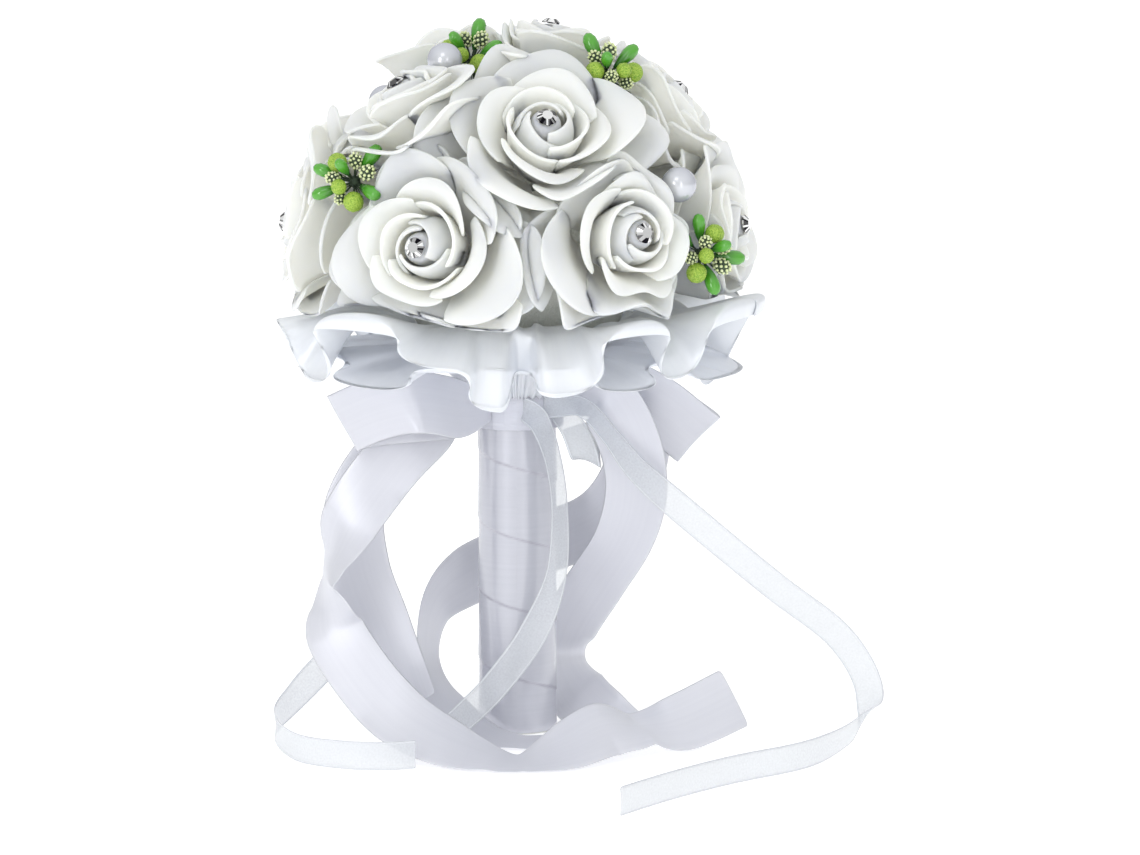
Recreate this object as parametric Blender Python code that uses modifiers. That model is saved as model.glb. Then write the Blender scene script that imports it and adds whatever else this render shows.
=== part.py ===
"""A hand-tied bridal bouquet: foam roses, pearls and berry sprays on a foam ball, a gathered satin collar,
a ribbon-wrapped handle that stands on its flat end, and satin and organza ribbons. Metres, +Z up,
origin at the centre of the handle's flat end. An azimuth of 0 faces -Y and grows towards +X."""

import math
import random

import bmesh
import bpy
from mathutils import Matrix, Vector

# Driving dimensions
SEAT_GAP = 0.0003
BALL_CENTRE = Vector((0, 0, 0.190))
BALL_RADIUS = 0.048
HANDLE_RADIUS = 0.0153
WRAP_INNER = HANDLE_RADIUS + SEAT_GAP
WRAP_OUTER = 0.0162
WRAP_TOP = 0.139
WRAP_BOTTOM = 0.0005
BAND_HEIGHT = 0.016
BAND_THICKNESS = 0.0020
SPIGOT_RADIUS = 0.0075
SPIGOT_DEPTH = 0.032
ROUND_SIDES = 24
# Added to a hole's radius: the gap, and what the flat sides of the hole take off it
HOLE_SLACK = 0.0006
CUTTER_PAST = 0.004

# Rose
ROSE_BASE = BALL_RADIUS + SEAT_GAP
PETAL_THICKNESS = 0.0009
STEM_RADIUS = 0.0015
STEM_DEPTH = 0.018
STEM_HOLE_SIDES = 6
GEM_SEAT = 0.0435
BUD_SIDES = 5
GEM_PROFILE = ((0, 0), (0.0026, 0), (0.004, 0.0014), (0.0024, 0.0028), (0, 0.0028))
GEM_SIDES = 8

# Pearls, sprays and their wires
PEARL_RADIUS = 0.0069
PEARL_SIDES = 9
PEARL_RINGS = 6
WIRE_RADIUS = 0.0008
WIRE_DEPTH = 0.014
WIRE_SIDES = 4
SPRAY_HUB = 0.079
HUB_RADIUS = 0.0017
BERRY_SIDES = 5

# Ribbons
SATIN_WIDTH = 0.025
ORGANZA_WIDTH = 0.0115
RIBBON_THICKNESS = 0.0006
PINCHED_WIDTH = 0.009
PINCH_LENGTH = 0.030
FLOOR_CLEARANCE = 0.0008
RIBBON_GAP = 0.0004
RIBBON_STEPS = 2

# Each rose: azimuth and elevation of its root on the ball, then of the way it faces, in degrees
ROSES = (
    ((-23.8, 7.4), (-23.8, 7.4)),
    ((32.5, 10.4), (32.5, 10.4)),
    ((10, 40), (10, 40)),
    ((110, 81), (110, 81)),
    ((-38, 44.6), (-80, 55)),
    ((-86, 9), (-86, 9)),
    ((80, 9), (74, 9)),
    ((88, 46), (88, 46)),
    ((-126, 25), (-126, 25)),
    ((-130, 62), (-140, 58)),
    ((130, 8), (130, 8)),
    ((-168, 8), (-168, 8)),
    ((138, 44), (138, 44)),
    ((-172, 44), (-172, 44)),
)

# Azimuth, elevation and distance from the ball's centre
PEARLS = ((50, 22, 0.088), (-52, 66, 0.086), (125, 27, 0.086), (-152, 26, 0.086), (-120, 44, 0.085))

# Azimuth and elevation
SPRAYS = ((-50, 23), (50, 58), (56, 4), (-90, 77), (160, 26), (-141, 5))

# The collar's free edge: azimuth in degrees, then radius and height. Hanging and raised folds take turns
COLLAR_EDGE = (
    (-8, 0.088, 0.146),
    (0.5, 0.083, 0.168),
    (9, 0.090, 0.147),
    (34, 0.087, 0.176),
    (50, 0.090, 0.150),
    (78, 0.095, 0.175),
    (100, 0.090, 0.151),
    (122, 0.089, 0.174),
    (142, 0.090, 0.148),
    (162, 0.088, 0.175),
    (180, 0.090, 0.149),
    (200, 0.088, 0.175),
    (220, 0.090, 0.148),
    (240, 0.088, 0.174),
    (257, 0.088, 0.150),
    (272, 0.091, 0.162),
    (288, 0.088, 0.146),
    (325, 0.087, 0.176),
)
# Rows from the ball outwards: radius, height, and the share of the edge's rise and fall that reaches the row
COLLAR_ROWS = ((0.0240, 0.1463, 0), (0.0470, 0.1652, 0), (0.0660, 0.1676, -0.18))
COLLAR_MEAN = 0.162
COLLAR_STEPS = 2
COLLAR_THICKNESS = 0.0006
# The petals stay above this cone, which clears the collar
COLLAR_CONE_RADIUS = 0.047
COLLAR_CONE_HEIGHT = 0.1664
COLLAR_CONE_SLOPE = 0.275

# Petals, in degrees and millimetres: root, belly and lip are a radius and a height on the rose's axis. The
# flare and the droop roll the lip, the spiral puts one side edge outside the next petal, and the cells are
# those across and along
LAYERS = {
    "heart": {
        "count": 2,
        "half_angle": 95,
        "root": (4, 13),
        "belly": (24.5, 22),
        "lip": (7, 46),
        "flare": 0.5,
        "droop": 0.0,
        "spiral": 1.8,
        "edge_drop": 1,
        "rounding": 0.08,
        "start": 20,
        "cells": (3, 2),
    },
    "cup": {
        "count": 3,
        "half_angle": 67,
        "root": (4, 9),
        "belly": (30, 13),
        "lip": (24, 33),
        "flare": 4.5,
        "droop": 1.5,
        "spiral": 2.6,
        "edge_drop": 3,
        "rounding": 0.22,
        "start": 75,
        "cells": (3, 2),
    },
    "skirt": {
        "count": 4,
        "half_angle": 49,
        "root": (3.6, 5.5),
        "belly": (38, 3),
        "lip": (43, 20),
        "flare": 7,
        "droop": 4.0,
        "spiral": 3.0,
        "edge_drop": 2,
        "rounding": 0.24,
        "start": 0,
        "cells": (2, 2),
    },
}
# The roses of the far side have fewer skirt petals, each wider
FIRST_FAR_ROSE = 7
FAR_SIDE_SKIRT = 3
# A rose that sits low on the ball hangs a skirt petal straight down, the others turn one to the top
LOW_ROSE_RISE = 30
SKIRT_DOWN = -90
SKIRT_UP = 90
# How much a rose is turned about its axis, and how much each petal differs from its layer: its turn, the
# radius and height of its lip, and its rounding
ROSE_SEED = 100
WHOLE_JITTER = 10
TURN_JITTER = 3
LIP_JITTER = (0.5, 1.5)
ROUNDING_JITTER = 0.06
MM = 0.001
ROOT_WIDTH = 0.3
WIDENING = 1.6
ROLL_START = 0.55
ROW_CROWDING = 1.6
ROUNDING_POWER = 1.7
# The bud's core with its stem, turned: radius and height from the ball's surface
BUD_PROFILE = ((0, -18), (1.5, -18), (1.5, 1.5), (5.6, 5.5), (6.5, 28), (3.2, 43.5), (0, 43.5))

# A petal that would reach past a wall of the rose's room is drawn in, and the layers stay nested
WALL_MARGIN = 0.8
WIDEST = 50
SQUEEZE = 0.28
KNEE_WIDTH = 4
FARTHEST_WALL = 80
HALVINGS = 14
BALL_MARGIN = 0.0014
GEM_ROOM = 5.6

# The room of a rose: neighbours farther than this can't meet it
ROSE_MIDDLE = 0.026
NEIGHBOUR_REACH = 0.105
TRIM_MIDDLE = 0.075
TRIM_REACH = 0.060
WIRE_ROOM = 0.0016
SPRAY_ROOM = 0.0135
SPRAY_FAR = 0.088


def direction(azimuth, elevation):
    """Unit vector from the ball's centre."""
    turn, rise = math.radians(azimuth), math.radians(elevation)
    return Vector((math.cos(rise) * math.sin(turn), -math.cos(rise) * math.cos(turn), math.sin(rise)))


def frame_along(axis, origin):
    """Matrix whose Z runs along axis, from origin."""
    side = Vector((0, 0, 1)).cross(axis)
    side = side.normalized() if side.length > 1e-6 else Vector((1, 0, 0))
    up = axis.cross(side)
    matrix = Matrix((side, up, axis)).transposed().to_4x4()
    matrix.translation = origin
    return matrix


def clear_scene():
    for old in list(bpy.data.objects):
        bpy.data.objects.remove(old)


def new_collection(name):
    made = bpy.data.collections.new(name)
    bpy.context.scene.collection.children.link(made)
    return made


def material(name, colour, roughness, metallic=0.0, alpha=1.0):
    made = bpy.data.materials.new(name)
    made.use_nodes = True
    shader = made.node_tree.nodes["Principled BSDF"]
    shader.inputs["Base Color"].default_value = (*colour, 1)
    shader.inputs["Roughness"].default_value = roughness
    shader.inputs["Metallic"].default_value = metallic
    shader.inputs["Alpha"].default_value = alpha
    return made


def add_object(name, bm, collection, finish=None):
    """Links a new object that holds the bmesh's mesh."""
    mesh = bpy.data.meshes.new(name)
    bm.to_mesh(mesh)
    bm.free()
    made = bpy.data.objects.new(name, mesh)
    if finish:
        mesh.materials.append(finish)
    collection.objects.link(made)
    return made


def combined(name, operation, body, others, collection, finish):
    """One applied Boolean of a body with a collection of others; all of them are removed."""
    loose = new_collection(name + "_loose")
    for other in others:
        other.hide_render = True
        other.display_type = "WIRE"
        collection.objects.unlink(other)
        loose.objects.link(other)
    step = body.modifiers.new("combine", "BOOLEAN")
    step.operation = operation
    step.operand_type = "COLLECTION"
    step.collection = loose
    step.solver = "EXACT"
    graph = bpy.context.evaluated_depsgraph_get()
    mesh = bpy.data.meshes.new_from_object(body.evaluated_get(graph))
    mesh.name = name
    mesh.materials.clear()
    mesh.materials.append(finish)
    for used in [body, *others]:
        bpy.data.objects.remove(used)
    bpy.data.collections.remove(loose)
    made = bpy.data.objects.new(name, mesh)
    collection.objects.link(made)
    return made


def fuse(name, pieces, collection, finish):
    return combined(name, "UNION", pieces[0], pieces[1:], collection, finish)


def rod(name, start, end, radius, sides, collection):
    """A straight round rod between two points."""
    along = end - start
    bm = bmesh.new()
    bmesh.ops.create_cone(
        bm,
        cap_ends=True,
        cap_tris=False,
        segments=sides,
        radius1=radius,
        radius2=radius,
        depth=along.length,
        matrix=frame_along(along.normalized(), (start + end) / 2),
    )
    return add_object(name, bm, collection)


def turned(profile, sides, matrix=Matrix()):
    """A bmesh turned about Z from (radius, height) points that start and end on the axis."""
    bm = bmesh.new()
    verts = [bm.verts.new((radius, 0, height)) for radius, height in profile]
    edges = [bm.edges.new(pair) for pair in zip(verts, verts[1:])]
    bmesh.ops.spin(
        bm,
        geom=verts + edges,
        cent=(0, 0, 0),
        axis=(0, 0, 1),
        angle=math.tau,
        steps=sides,
        use_merge=True,
    )
    bmesh.ops.remove_doubles(bm, verts=bm.verts, dist=1e-6)
    bmesh.ops.recalc_face_normals(bm, faces=bm.faces)
    bmesh.ops.transform(bm, matrix=matrix, verts=bm.verts)
    return bm


def sheet_grid(columns, rows, place, closed=False):
    """A triangulated grid whose points are place(column share, row share)."""
    bm = bmesh.new()
    bmesh.ops.create_grid(bm, x_segments=columns, y_segments=rows, size=0.5)
    for vert in bm.verts:
        vert.co = place(vert.co.x + 0.5, vert.co.y + 0.5)
    if closed:
        bmesh.ops.remove_doubles(bm, verts=bm.verts, dist=1e-6)
    bmesh.ops.triangulate(bm, faces=bm.faces, quad_method="SHORT_EDGE")
    return bm


def thicken(sheet, thickness):
    wall = sheet.modifiers.new("thickness", "SOLIDIFY")
    wall.thickness = thickness
    wall.offset = 0
    return sheet


# The room of each rose: planes that keep it clear of its neighbours


def rose_middle(root, facing):
    return direction(*root) * ROSE_BASE + direction(*facing) * ROSE_MIDDLE


def plane_between(middle, other):
    return (middle + other) / 2, (middle - other).normalized()


def plane_beside(middle, line, near, far):
    """A plane beside a wire that widens from near to far: each is a distance out and a half width."""
    away = middle - line * middle.dot(line)
    away.normalize()
    low = line * near[0] + away * near[1]
    high = line * far[0] + away * far[1]
    normal = line.cross(away).cross(high - low).normalized()
    if normal.dot(middle - low) < 0:
        normal.negate()
    return low, normal


def room_of(index):
    """Planes as a point and an inward normal, measured from the ball's centre."""
    middle = rose_middle(*ROSES[index])
    planes = []
    for number, other in enumerate(ROSES):
        other_middle = rose_middle(*other)
        if number != index and (other_middle - middle).length < NEIGHBOUR_REACH:
            planes.append(plane_between(middle, other_middle))
    near = (ROSE_BASE, WIRE_ROOM)
    trims = [(direction(azimuth, rise), (far, PEARL_RADIUS + SEAT_GAP)) for azimuth, rise, far in PEARLS]
    trims += [(direction(*spray), (SPRAY_FAR, SPRAY_ROOM)) for spray in SPRAYS]
    for line, far in trims:
        if (line * TRIM_MIDDLE - middle).length < TRIM_REACH:
            planes.append(plane_beside(middle, line, near, far))
    return planes


def inside_room(point, planes):
    """Whether a point, measured from the ball's centre, is inside the room and above the collar's cone."""
    cone = COLLAR_CONE_SLOPE * (math.hypot(point.x, point.y) - COLLAR_CONE_RADIUS)
    if point.z < cone + COLLAR_CONE_HEIGHT - BALL_CENTRE.z:
        return False
    return all((point - anchor).dot(normal) > 0 for anchor, normal in planes)


def wall_distance(start, way, planes):
    """How many millimetres a point can move along way before it leaves the room."""
    near, far = 0, FARTHEST_WALL
    for _ in range(HALVINGS):
        middle = (near + far) / 2
        if inside_room(start + way * middle * MM, planes):
            near = middle
        else:
            far = middle
    return near


def drawn_in(radius, wall):
    """A radius in millimetres that stays short of the wall, and keeps its order among the other layers."""
    knee = (wall - SQUEEZE * WIDEST) / (1 - SQUEEZE)
    past = radius - knee
    return knee + SQUEEZE * past + (1 - SQUEEZE) * (past - math.hypot(past, KNEE_WIDTH)) / 2


# Roses


def rose_petals(index):
    """The petals of a rose from heart to skirt, each with its own small differences."""
    draw = random.Random(ROSE_SEED + index)
    whole_turn = SKIRT_DOWN if ROSES[index][0][1] < LOW_ROSE_RISE else SKIRT_UP
    whole_turn += draw.uniform(-WHOLE_JITTER, WHOLE_JITTER)
    petals = []
    for name, layer in LAYERS.items():
        count = FAR_SIDE_SKIRT if name == "skirt" and index >= FIRST_FAR_ROSE else layer["count"]
        for number in range(count):
            petal = dict(layer)
            petal["half_angle"] *= layer["count"] / count
            petal["turn"] = whole_turn + layer["start"] + 360 * number / count
            petal["turn"] += draw.uniform(-TURN_JITTER, TURN_JITTER)
            petal["lip"] = tuple(
                value + draw.uniform(-jitter, jitter) for value, jitter in zip(layer["lip"], LIP_JITTER)
            )
            petal["rounding"] = layer["rounding"] + draw.uniform(-ROUNDING_JITTER, ROUNDING_JITTER)
            petals.append(petal)
    return petals


def petal_polar(petal, across, along):
    """Radius, angle and height of a petal's middle surface; across is -1 to 1, along is 0 to 1."""
    reach = 1 - (1 - along) ** ROW_CROWDING
    reach *= 1 - petal["rounding"] * abs(across) ** ROUNDING_POWER
    weights = ((1 - reach) ** 2, 2 * reach * (1 - reach), reach**2)
    stations = (petal["root"], petal["belly"], petal["lip"])
    radius = sum(weight * station[0] for weight, station in zip(weights, stations))
    height = sum(weight * station[1] for weight, station in zip(weights, stations))
    roll = max(0, reach - ROLL_START) / (1 - ROLL_START)
    radius += petal["flare"] * roll**2 + petal["spiral"] * across * reach
    height -= petal["droop"] * roll**2 + petal["spiral"] * across * reach
    height -= petal["edge_drop"] * across**2 * reach**3
    width = ROOT_WIDTH + (1 - ROOT_WIDTH) * math.sin(min(1, WIDENING * reach) * math.pi / 2)
    return radius, math.radians(petal["turn"] + across * petal["half_angle"] * width), height


def petal_place(petal, frame, planes):
    """The function that places a petal's grid in the world."""

    def place(column, row):
        radius, angle, height = petal_polar(petal, 2 * column - 1, row)
        way = frame.to_3x3() @ Vector((math.cos(angle), math.sin(angle), 0))
        start = frame @ Vector((0, 0, height * MM))
        wall = wall_distance(start, way, planes) - WALL_MARGIN
        radius = max(drawn_in(radius, wall), min(radius, GEM_ROOM))
        point = start + way * radius * MM
        if point.length < BALL_RADIUS + BALL_MARGIN:
            point = point.normalized() * (BALL_RADIUS + BALL_MARGIN)
        return point + BALL_CENTRE

    return place


def add_rose(index, collection, finish):
    root, facing = ROSES[index]
    base = direction(*root) * ROSE_BASE
    frame = frame_along(direction(*facing), base)
    profile = [(radius * MM, height * MM) for radius, height in BUD_PROFILE]
    core = turned(profile, BUD_SIDES, Matrix.Translation(BALL_CENTRE) @ frame)
    pieces = [add_object("bud", core, collection)]
    for petal in rose_petals(index):
        across, along = petal["cells"]
        grid = sheet_grid(across, along, petal_place(petal, frame, room_of(index)))
        pieces.append(thicken(add_object("petal", grid, collection), PETAL_THICKNESS))
    return fuse(f"rose_{index + 1:02d}", pieces, collection, finish)


def add_gem(index, collection, finish):
    """A round cut stone with a flat back, seated on the bud's flat tip."""
    root, facing = ROSES[index]
    base = BALL_CENTRE + direction(*root) * ROSE_BASE + direction(*facing) * (GEM_SEAT + SEAT_GAP)
    bm = turned(GEM_PROFILE, GEM_SIDES, frame_along(direction(*facing), base))
    return add_object(f"gem_{index + 1:02d}", bm, collection, finish)


# Pearls and berry sprays


def add_pearl(number, collection, finish):
    azimuth, elevation, distance = PEARLS[number]
    line = direction(azimuth, elevation)
    bm = bmesh.new()
    centre = BALL_CENTRE + line * distance
    frame = frame_along(line, centre)
    bmesh.ops.create_uvsphere(
        bm,
        u_segments=PEARL_SIDES,
        v_segments=PEARL_RINGS,
        radius=PEARL_RADIUS,
        matrix=frame,
    )
    bead = add_object("bead", bm, collection)
    start = BALL_CENTRE + line * (BALL_RADIUS - WIRE_DEPTH)
    wire = rod("wire", start, centre, WIRE_RADIUS, WIRE_SIDES, collection)
    return fuse(f"pearl_{number + 1}", [bead, wire], collection, finish)


# Berries of a spray: kind, tilt off the spray's axis, turn about it, distance of its middle from the hub
BERRIES = (
    ("glossy", 18, 30, 12.5),
    ("glossy", 52, 95, 12.0),
    ("glossy", 54, 220, 12.5),
    ("sugared", 48, 285, 11.5),
    ("sugared", 46, 158, 10.5),
    ("seeds", 50, 345, 10.0),
)
# A berry's profile along its stalk: radius, and height from the berry's middle
BERRY_PROFILES = {
    "glossy": ((0.6, -4.2), (2.0, -1.6), (2.4, 1.4), (0, 4.3)),
    "sugared": ((0.6, -3.7), (2.4, -1.4), (2.5, 1.4), (0, 3.7)),
    "seeds": ((0.6, -3.7), (2.2, -1.6), (2.4, 1.6), (0, 3.9)),
}
STALK_FOOT = (0.5, 0.4)
SPRAY_SEED = 300


def add_spray(number, collection, finish):
    """A wire with a bead at its end, from which the stalked berries fan out."""
    line = direction(*SPRAYS[number])
    hub = BALL_CENTRE + line * SPRAY_HUB
    frame = frame_along(line, hub)
    bm = bmesh.new()
    bmesh.ops.create_icosphere(bm, subdivisions=1, radius=HUB_RADIUS, matrix=frame)
    start = BALL_CENTRE + line * (BALL_RADIUS - WIRE_DEPTH)
    pieces = [
        add_object("hub", bm, collection),
        rod("wire", start, hub, WIRE_RADIUS, WIRE_SIDES, collection),
    ]
    turn_of_spray = random.Random(SPRAY_SEED + number).uniform(0, 360)
    for kind, tilt, turn, distance in BERRIES:
        lean, around = math.radians(tilt), math.radians(turn + turn_of_spray)
        way = Vector((math.sin(lean) * math.cos(around), math.sin(lean) * math.sin(around), math.cos(lean)))
        profile = [(0, 0), STALK_FOOT]
        profile += [(radius, distance + height) for radius, height in BERRY_PROFILES[kind]]
        profile = [(radius * MM, height * MM) for radius, height in profile]
        bm = turned(profile, BERRY_SIDES, frame_along(frame.to_3x3() @ way, hub))
        pieces.append(add_object("berry", bm, collection))
    return fuse(f"berry_spray_{number + 1}", pieces, collection, finish)


# Ball, handle and collar


def add_ball(collection, finish):
    """The foam ball, drilled for every stem and wire, with a socket for the handle."""
    bm = bmesh.new()
    place = Matrix.Translation(BALL_CENTRE)
    bmesh.ops.create_icosphere(bm, subdivisions=3, radius=BALL_RADIUS, matrix=place)
    ball = add_object("ball", bm, collection)
    cutters = []
    for root, facing in ROSES:
        surface = BALL_CENTRE + direction(*root) * BALL_RADIUS
        way = direction(*facing)
        deep = surface - way * (STEM_DEPTH + SEAT_GAP)
        radius = STEM_RADIUS + HOLE_SLACK
        cutters.append(rod("hole", deep, surface + way * CUTTER_PAST, radius, STEM_HOLE_SIDES, collection))
    lines = [direction(azimuth, rise) for azimuth, rise, _ in PEARLS]
    lines += [direction(*spray) for spray in SPRAYS]
    for line in lines:
        deep = BALL_CENTRE + line * (BALL_RADIUS - WIRE_DEPTH - SEAT_GAP)
        out = BALL_CENTRE + line * (BALL_RADIUS + CUTTER_PAST)
        cutters.append(rod("hole", deep, out, WIRE_RADIUS + HOLE_SLACK, WIRE_SIDES, collection))
    below = BALL_CENTRE - Vector((0, 0, BALL_RADIUS + CUTTER_PAST))
    top = Vector((0, 0, BALL_CENTRE.z - BALL_RADIUS + SPIGOT_DEPTH))
    cutters.append(rod("socket", below, top, SPIGOT_RADIUS + SEAT_GAP, ROUND_SIDES, collection))
    return combined("foam_ball", "DIFFERENCE", ball, cutters, collection, finish)


def add_handle(collection, finish, satin):
    shoulder = BALL_CENTRE.z - BALL_RADIUS - SEAT_GAP
    spigot_top = BALL_CENTRE.z - BALL_RADIUS + SPIGOT_DEPTH - SEAT_GAP
    core = turned(
        (
            (0, 0),
            (HANDLE_RADIUS, 0),
            (HANDLE_RADIUS, shoulder),
            (SPIGOT_RADIUS, shoulder),
            (SPIGOT_RADIUS, spigot_top),
            (0, spigot_top),
        ),
        ROUND_SIDES,
    )
    add_object("handle_core", core, collection, finish)
    add_ring("handle_wrap", WRAP_INNER, WRAP_OUTER, WRAP_BOTTOM, WRAP_TOP, collection, satin)
    inner = WRAP_OUTER + SEAT_GAP
    add_ring("tie_band", inner, inner + BAND_THICKNESS, WRAP_TOP - BAND_HEIGHT, WRAP_TOP, collection, satin)


def add_ring(name, inner, outer, bottom, top, collection, finish):
    """An upright ring with flat ends."""
    bm = bmesh.new()
    corners = ((inner, bottom), (outer, bottom), (outer, top), (inner, top))
    verts = [bm.verts.new((radius, 0, height)) for radius, height in corners]
    edges = [bm.edges.new((verts[number], verts[(number + 1) % 4])) for number in range(4)]
    bmesh.ops.spin(
        bm,
        geom=verts + edges,
        cent=(0, 0, 0),
        axis=(0, 0, 1),
        angle=math.tau,
        steps=ROUND_SIDES,
        use_merge=True,
    )
    bmesh.ops.remove_doubles(bm, verts=bm.verts, dist=1e-6)
    bmesh.ops.recalc_face_normals(bm, faces=bm.faces)
    return add_object(name, bm, collection, finish)


def collar_edge(share):
    """Radius, height and azimuth of the free edge, share 0 to 1 round the collar."""
    place = share * len(COLLAR_EDGE)
    number = min(int(place + 1e-6), len(COLLAR_EDGE) - 1)
    part = place - number
    here = COLLAR_EDGE[number]
    there = COLLAR_EDGE[(number + 1) % len(COLLAR_EDGE)]
    end_azimuth = there[0] + (360 if there[0] < here[0] else 0)
    ease = (1 - math.cos(math.pi * part)) / 2
    azimuth = here[0] + (end_azimuth - here[0]) * part
    return (
        here[1] + (there[1] - here[1]) * ease,
        here[2] + (there[2] - here[2]) * ease,
        math.radians(azimuth),
    )


def add_collar(collection, finish):
    """A strip gathered under the ball and flared into folds, a closed ring."""
    rows = len(COLLAR_ROWS)

    def place(column, row):
        edge_radius, edge_height, azimuth = collar_edge(column % 1)
        level = round(row * rows)
        if level < rows:
            radius, height, share = COLLAR_ROWS[level]
            height += share * (edge_height - COLLAR_MEAN)
        else:
            radius, height = edge_radius, edge_height
        return Vector((radius * math.sin(azimuth), -radius * math.cos(azimuth), height))

    columns = COLLAR_STEPS * len(COLLAR_EDGE)
    bm = sheet_grid(columns, rows, place, closed=True)
    bmesh.ops.recalc_face_normals(bm, faces=bm.faces)
    return thicken(add_object("ruffle_collar", bm, collection, finish), COLLAR_THICKNESS)


# Ribbons: a width, then rows of a point in millimetres and the direction of the ribbon's width there


def band_point(azimuth, height):
    """A point just off the tie band, in millimetres."""
    radius = (WRAP_OUTER + SEAT_GAP + BAND_THICKNESS + RIBBON_GAP) / MM
    turn = math.radians(azimuth)
    return radius * math.sin(turn), -radius * math.cos(turn), height


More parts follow.
